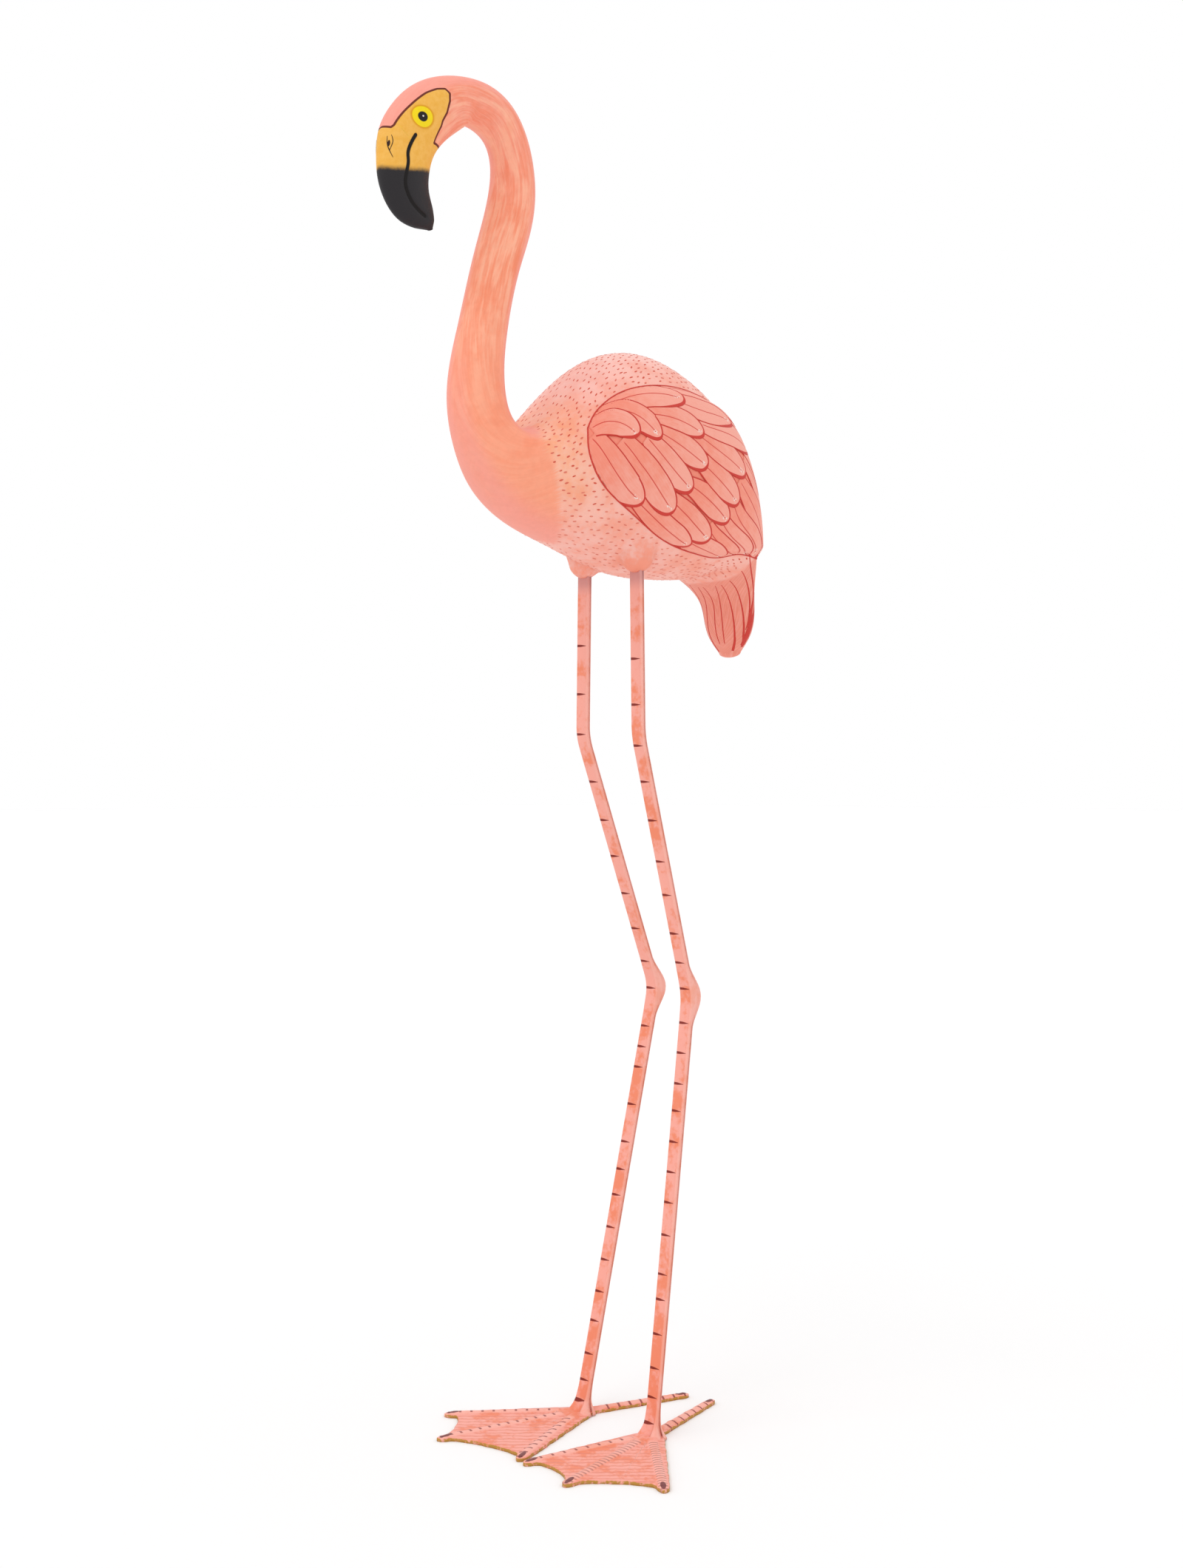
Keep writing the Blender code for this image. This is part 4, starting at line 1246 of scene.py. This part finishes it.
def foot_plate(ankle, toes, turn, hind, steps, seed):
    """The webbed plate with its toes: points, faces and what its paint reads."""
    corners = foot_outline(toes, turn, hind)
    ends = np.roll(corners, -1, axis=0)
    rim = []
    for a, b in zip(corners, ends):
        count = max(2, int(np.linalg.norm(b - a) / RIM_SPACING))
        rim.append(a + (b - a) * np.linspace(0, 1, count, endpoint=False)[:, None])
    rim = np.concatenate(rim)
    for _ in range(3):
        rim = (np.roll(rim, 1, axis=0) + 2 * rim + np.roll(rim, -1, axis=0)) / 4
    count = len(rim)
    out = unit(np.roll(rim, -1, axis=0) - np.roll(rim, 1, axis=0)) @ np.array(((0, -1), (1, 0)))
    centre_side = inside(rim, *(rim + out * 0.001).T)
    out[centre_side] *= -1
    walk = np.arange(count) / count * 2 * math.pi
    chance = np.random.default_rng(seed)
    waver = sum(np.sin(walk * n + chance.random() * 7) * size for n, size in PLATE_WAVER)
    rim = rim + out * (waver * MILLIMETRE)[:, None]
    shoulder = rim - out * SHOULDER
    limits = zip(rim.min(axis=0), rim.max(axis=0))
    xs, ys = np.meshgrid(*(np.arange(low, high, PLATE_SPACING) for low, high in limits))
    ys[:, ::2] += PLATE_SPACING / 2
    inner = np.column_stack([xs.ravel(), ys.ravel()])
    inner = inner[inside(rim, inner[:, 0], inner[:, 1])]
    closed = np.concatenate([rim, rim[:1]])
    inner = inner[nearest_distance(inner, closed) > 0.0024]
    flat = np.concatenate([rim, shoulder, inner])
    loop = list(range(count))
    result = delaunay_2d_cdt([Vector(p) for p in flat], [], [loop], 1, 1e-7)
    flat = np.array([tuple(p) for p in result[0]])
    triangles = [tuple(f) for f in result[2]]
    from_rim = nearest_distance(flat, closed)

    angles = [turn + fan for fan in TOE_FAN] + [hind]
    reaches = list(toes) + [HIND_TOE_LENGTH]
    widths = [TOE_WIDTH] * 3 + [HIND_TOE_WIDTH * 0.8]
    best = np.full(len(flat), 1e9)
    beside, left_over, gaps, top = np.zeros((4, len(flat)))
    for angle, reach, width, step in zip(angles, reaches, widths, steps):
        along = flat @ toe_point(angle, 1)
        across = flat @ toe_point(angle, 0, 1)
        half = width / 2 * (1 - 0.28 * np.clip(along / reach, 0, 1))
        rounded = np.clip((reach - width * 0.35 - along) / (width * 0.6), 0, 1)
        ridge = TOE_RISE * half / (width / 2) * np.sqrt(np.clip(1 - (across / half) ** 2, 0, 1))
        ridge *= np.sqrt(rounded) * (along > -0.004)
        top = np.maximum(top, ridge)
        away = np.where(along > 0, np.abs(across), 1.0)
        closer = away < best
        best = np.where(closer, away, best)
        beside = np.where(closer, across, beside)
        left_over = np.where(closer, along - reach, left_over)
        gaps = np.where(closer, step, gaps)
    top_z = PLATE_THICKNESS + top - EDGE_DROP * (1 - smooth_step(0.0, 0.0010, from_rim))
    total = len(flat)
    none = np.zeros(total)
    placed = flat + ankle[:2]
    points = np.concatenate([np.column_stack([placed, z]) for z in (top_z, none)])
    faces = []
    for a, b, c in triangles:
        (x1, y1), (x2, y2) = flat[b] - flat[a], flat[c] - flat[a]
        if x1 * y2 < y1 * x2:
            b, c = c, b
        faces += [(a, b, c), (total + a, total + c, total + b)]
    area = np.sum(rim[:, 0] * np.roll(rim[:, 1], -1) - np.roll(rim[:, 0], -1) * rim[:, 1])
    for a, b in zip(loop, loop[1:] + loop[:1]):
        faces.append((total + a, total + b, b, a) if area > 0 else (total + b, total + a, a, b))
    # Close dashes cross the whole toe in arcs, others only its further side
    close = gaps < CLOSE_DASHES
    phase = (left_over + np.where(close, 14.0, 0.0) * beside**2) / gaps
    depth = (flat[:, 1] - flat[:, 0]) * math.sqrt(0.5)
    layers = {
        "bar": (none, none, none),
        "dash": (phase, gaps / MILLIMETRE, none + 1),
        "toe": (left_over / MILLIMETRE, beside / MILLIMETRE, from_rim / MILLIMETRE),
        "plate": (
            np.linalg.norm(flat, axis=1) / MILLIMETRE, depth / MILLIMETRE,
            np.where(close, 0.0, DASH_SHIFT),
        ),
    }
    layers = {name: np.tile(np.column_stack(parts), (2, 1)) for name, parts in layers.items()}
    layers["toe"][total:, 2] = 0.0
    return points, faces, layers


class FLAMINGO_OT_legs(bpy.types.Operator):
    """Builds both bar legs with their webbed feet"""

    bl_idname = "flamingo.legs"
    bl_label = "Build the legs"

    def execute(self, context):
        scene = context.scene
        finish = painted_steel(scene.flamingo_colours, scene.flamingo_marks)
        left = (LEFT_TOES, LEFT_TURN, LEFT_HIND_TURN, LEFT_TOE_DASHES)
        right = (RIGHT_TOES, RIGHT_TURN, RIGHT_HIND_TURN, RIGHT_TOE_DASHES)
        for name, node, side, knee, dashes, foot_form in (
            ("left_leg_and_foot", "left_leg", 1, LEFT_KNEE_BACK, LEFT_DASHES, left),
            ("right_leg_and_foot", "right_leg", -1, RIGHT_KNEE_BACK, RIGHT_DASHES, right),
        ):
            foot = foot_plate(leg_line(side, knee, 0.0), *foot_form, 11 + side)
            piece = mesh_piece(name, *joined([leg_bar(side, knee, dashes), foot]), finish)
            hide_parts(node)
        return {"FINISHED"}


class FLAMINGO_OT_stage(bpy.types.Operator):
    """Sets the floor, the soft light and the camera"""

    bl_idname = "flamingo.stage"
    bl_label = "Set the stage"

    def execute(self, context):
        scene = context.scene
        stage = scene.flamingo_stage
        scene.view_settings.view_transform = "Standard"  # shows the paints' own colours
        mesh = bpy.data.meshes.new("floor")
        reach = 40.0
        mesh.from_pydata(
            [(-reach, -reach, 0), (reach, -reach, 0), (reach, reach, 0), (-reach, reach, 0)],
            [], [(0, 1, 2, 3)],
        )
        floor = bpy.data.objects.new("floor", mesh)
        scene.collection.objects.link(floor)
        # Matt studio paper: no gloss, only its own pale grey
        made, tree, shader = started("studio paper")
        inputs = shader.node.inputs
        inputs["Base Color"].default_value = (*stage.floor, 1)
        inputs["Roughness"].default_value = 0.9
        inputs["Specular IOR Level"].default_value = 0.2
        mesh.materials.append(made)

        world = bpy.data.worlds.new("studio")
        scene.world = world
        world.use_nodes = True
        background = world.node_tree.nodes["Background"]
        background.inputs["Color"].default_value = (1, 1, 1, 1)
        background.inputs["Strength"].default_value = 1.0

        # One very broad key from the front, left of the camera and above it
        lamp = bpy.data.lights.new("key light", "SUN")
        lamp.energy = stage.key_power
        lamp.angle = math.radians(40)
        holder = bpy.data.objects.new("key light", lamp)
        holder.rotation_euler = Vector((0.05, 0.78, -1.0)).to_track_quat("-Z", "Y").to_euler()
        scene.collection.objects.link(holder)

        lens = bpy.data.cameras.new("camera")
        lens.sensor_width = 36.0
        lens.lens = stage.lens
        camera = bpy.data.objects.new("camera", lens)
        place = CAMERA_PLACE + Bird.offset[:2]
        camera.location = (*place, stage.camera_height)
        camera.rotation_euler = (math.radians(90), 0, math.radians(45))
        scene.collection.objects.link(camera)
        scene.camera = camera
        return {"FINISHED"}


class FLAMINGO_PT_panel(bpy.types.Panel):
    """Lists what the sculpture is made of"""

    bl_idname = "FLAMINGO_PT_panel"
    bl_label = "Flamingo"
    bl_space_type = "VIEW_3D"
    bl_region_type = "UI"
    bl_category = "Flamingo"

    def draw(self, context):
        column = self.layout.column()
        for group in ("flamingo_colours", "flamingo_marks", "flamingo_stage"):
            settings = getattr(context.scene, group)
            for name in settings.__annotations__:
                column.prop(settings, name)
        for operator in OPERATORS:
            column.operator(operator.bl_idname)


OPERATORS = (
    FLAMINGO_OT_bird, FLAMINGO_OT_dots, FLAMINGO_OT_wings, FLAMINGO_OT_lines, FLAMINGO_OT_legs,
    FLAMINGO_OT_stage,
)
GROUPS = (FlamingoColours, FlamingoMarks, FlamingoStage)
CLASSES = GROUPS + OPERATORS + (FLAMINGO_PT_panel,)


def register():
    for made in CLASSES:
        bpy.utils.register_class(made)
    bpy.types.Scene.flamingo_colours = PointerProperty(type=FlamingoColours)
    bpy.types.Scene.flamingo_marks = PointerProperty(type=FlamingoMarks)
    bpy.types.Scene.flamingo_stage = PointerProperty(type=FlamingoStage)


def unregister():
    del bpy.types.Scene.flamingo_colours
    del bpy.types.Scene.flamingo_marks
    del bpy.types.Scene.flamingo_stage
    for made in reversed(CLASSES):
        bpy.utils.unregister_class(made)


def main():
    Bird.offset = Bird().shift
    register()
    bpy.ops.flamingo.bird()
    bpy.ops.flamingo.dots()
    bpy.ops.flamingo.wings()
    bpy.ops.flamingo.lines()
    bpy.ops.flamingo.legs()
    bpy.ops.flamingo.stage()


if __name__ == "__main__":
    main()
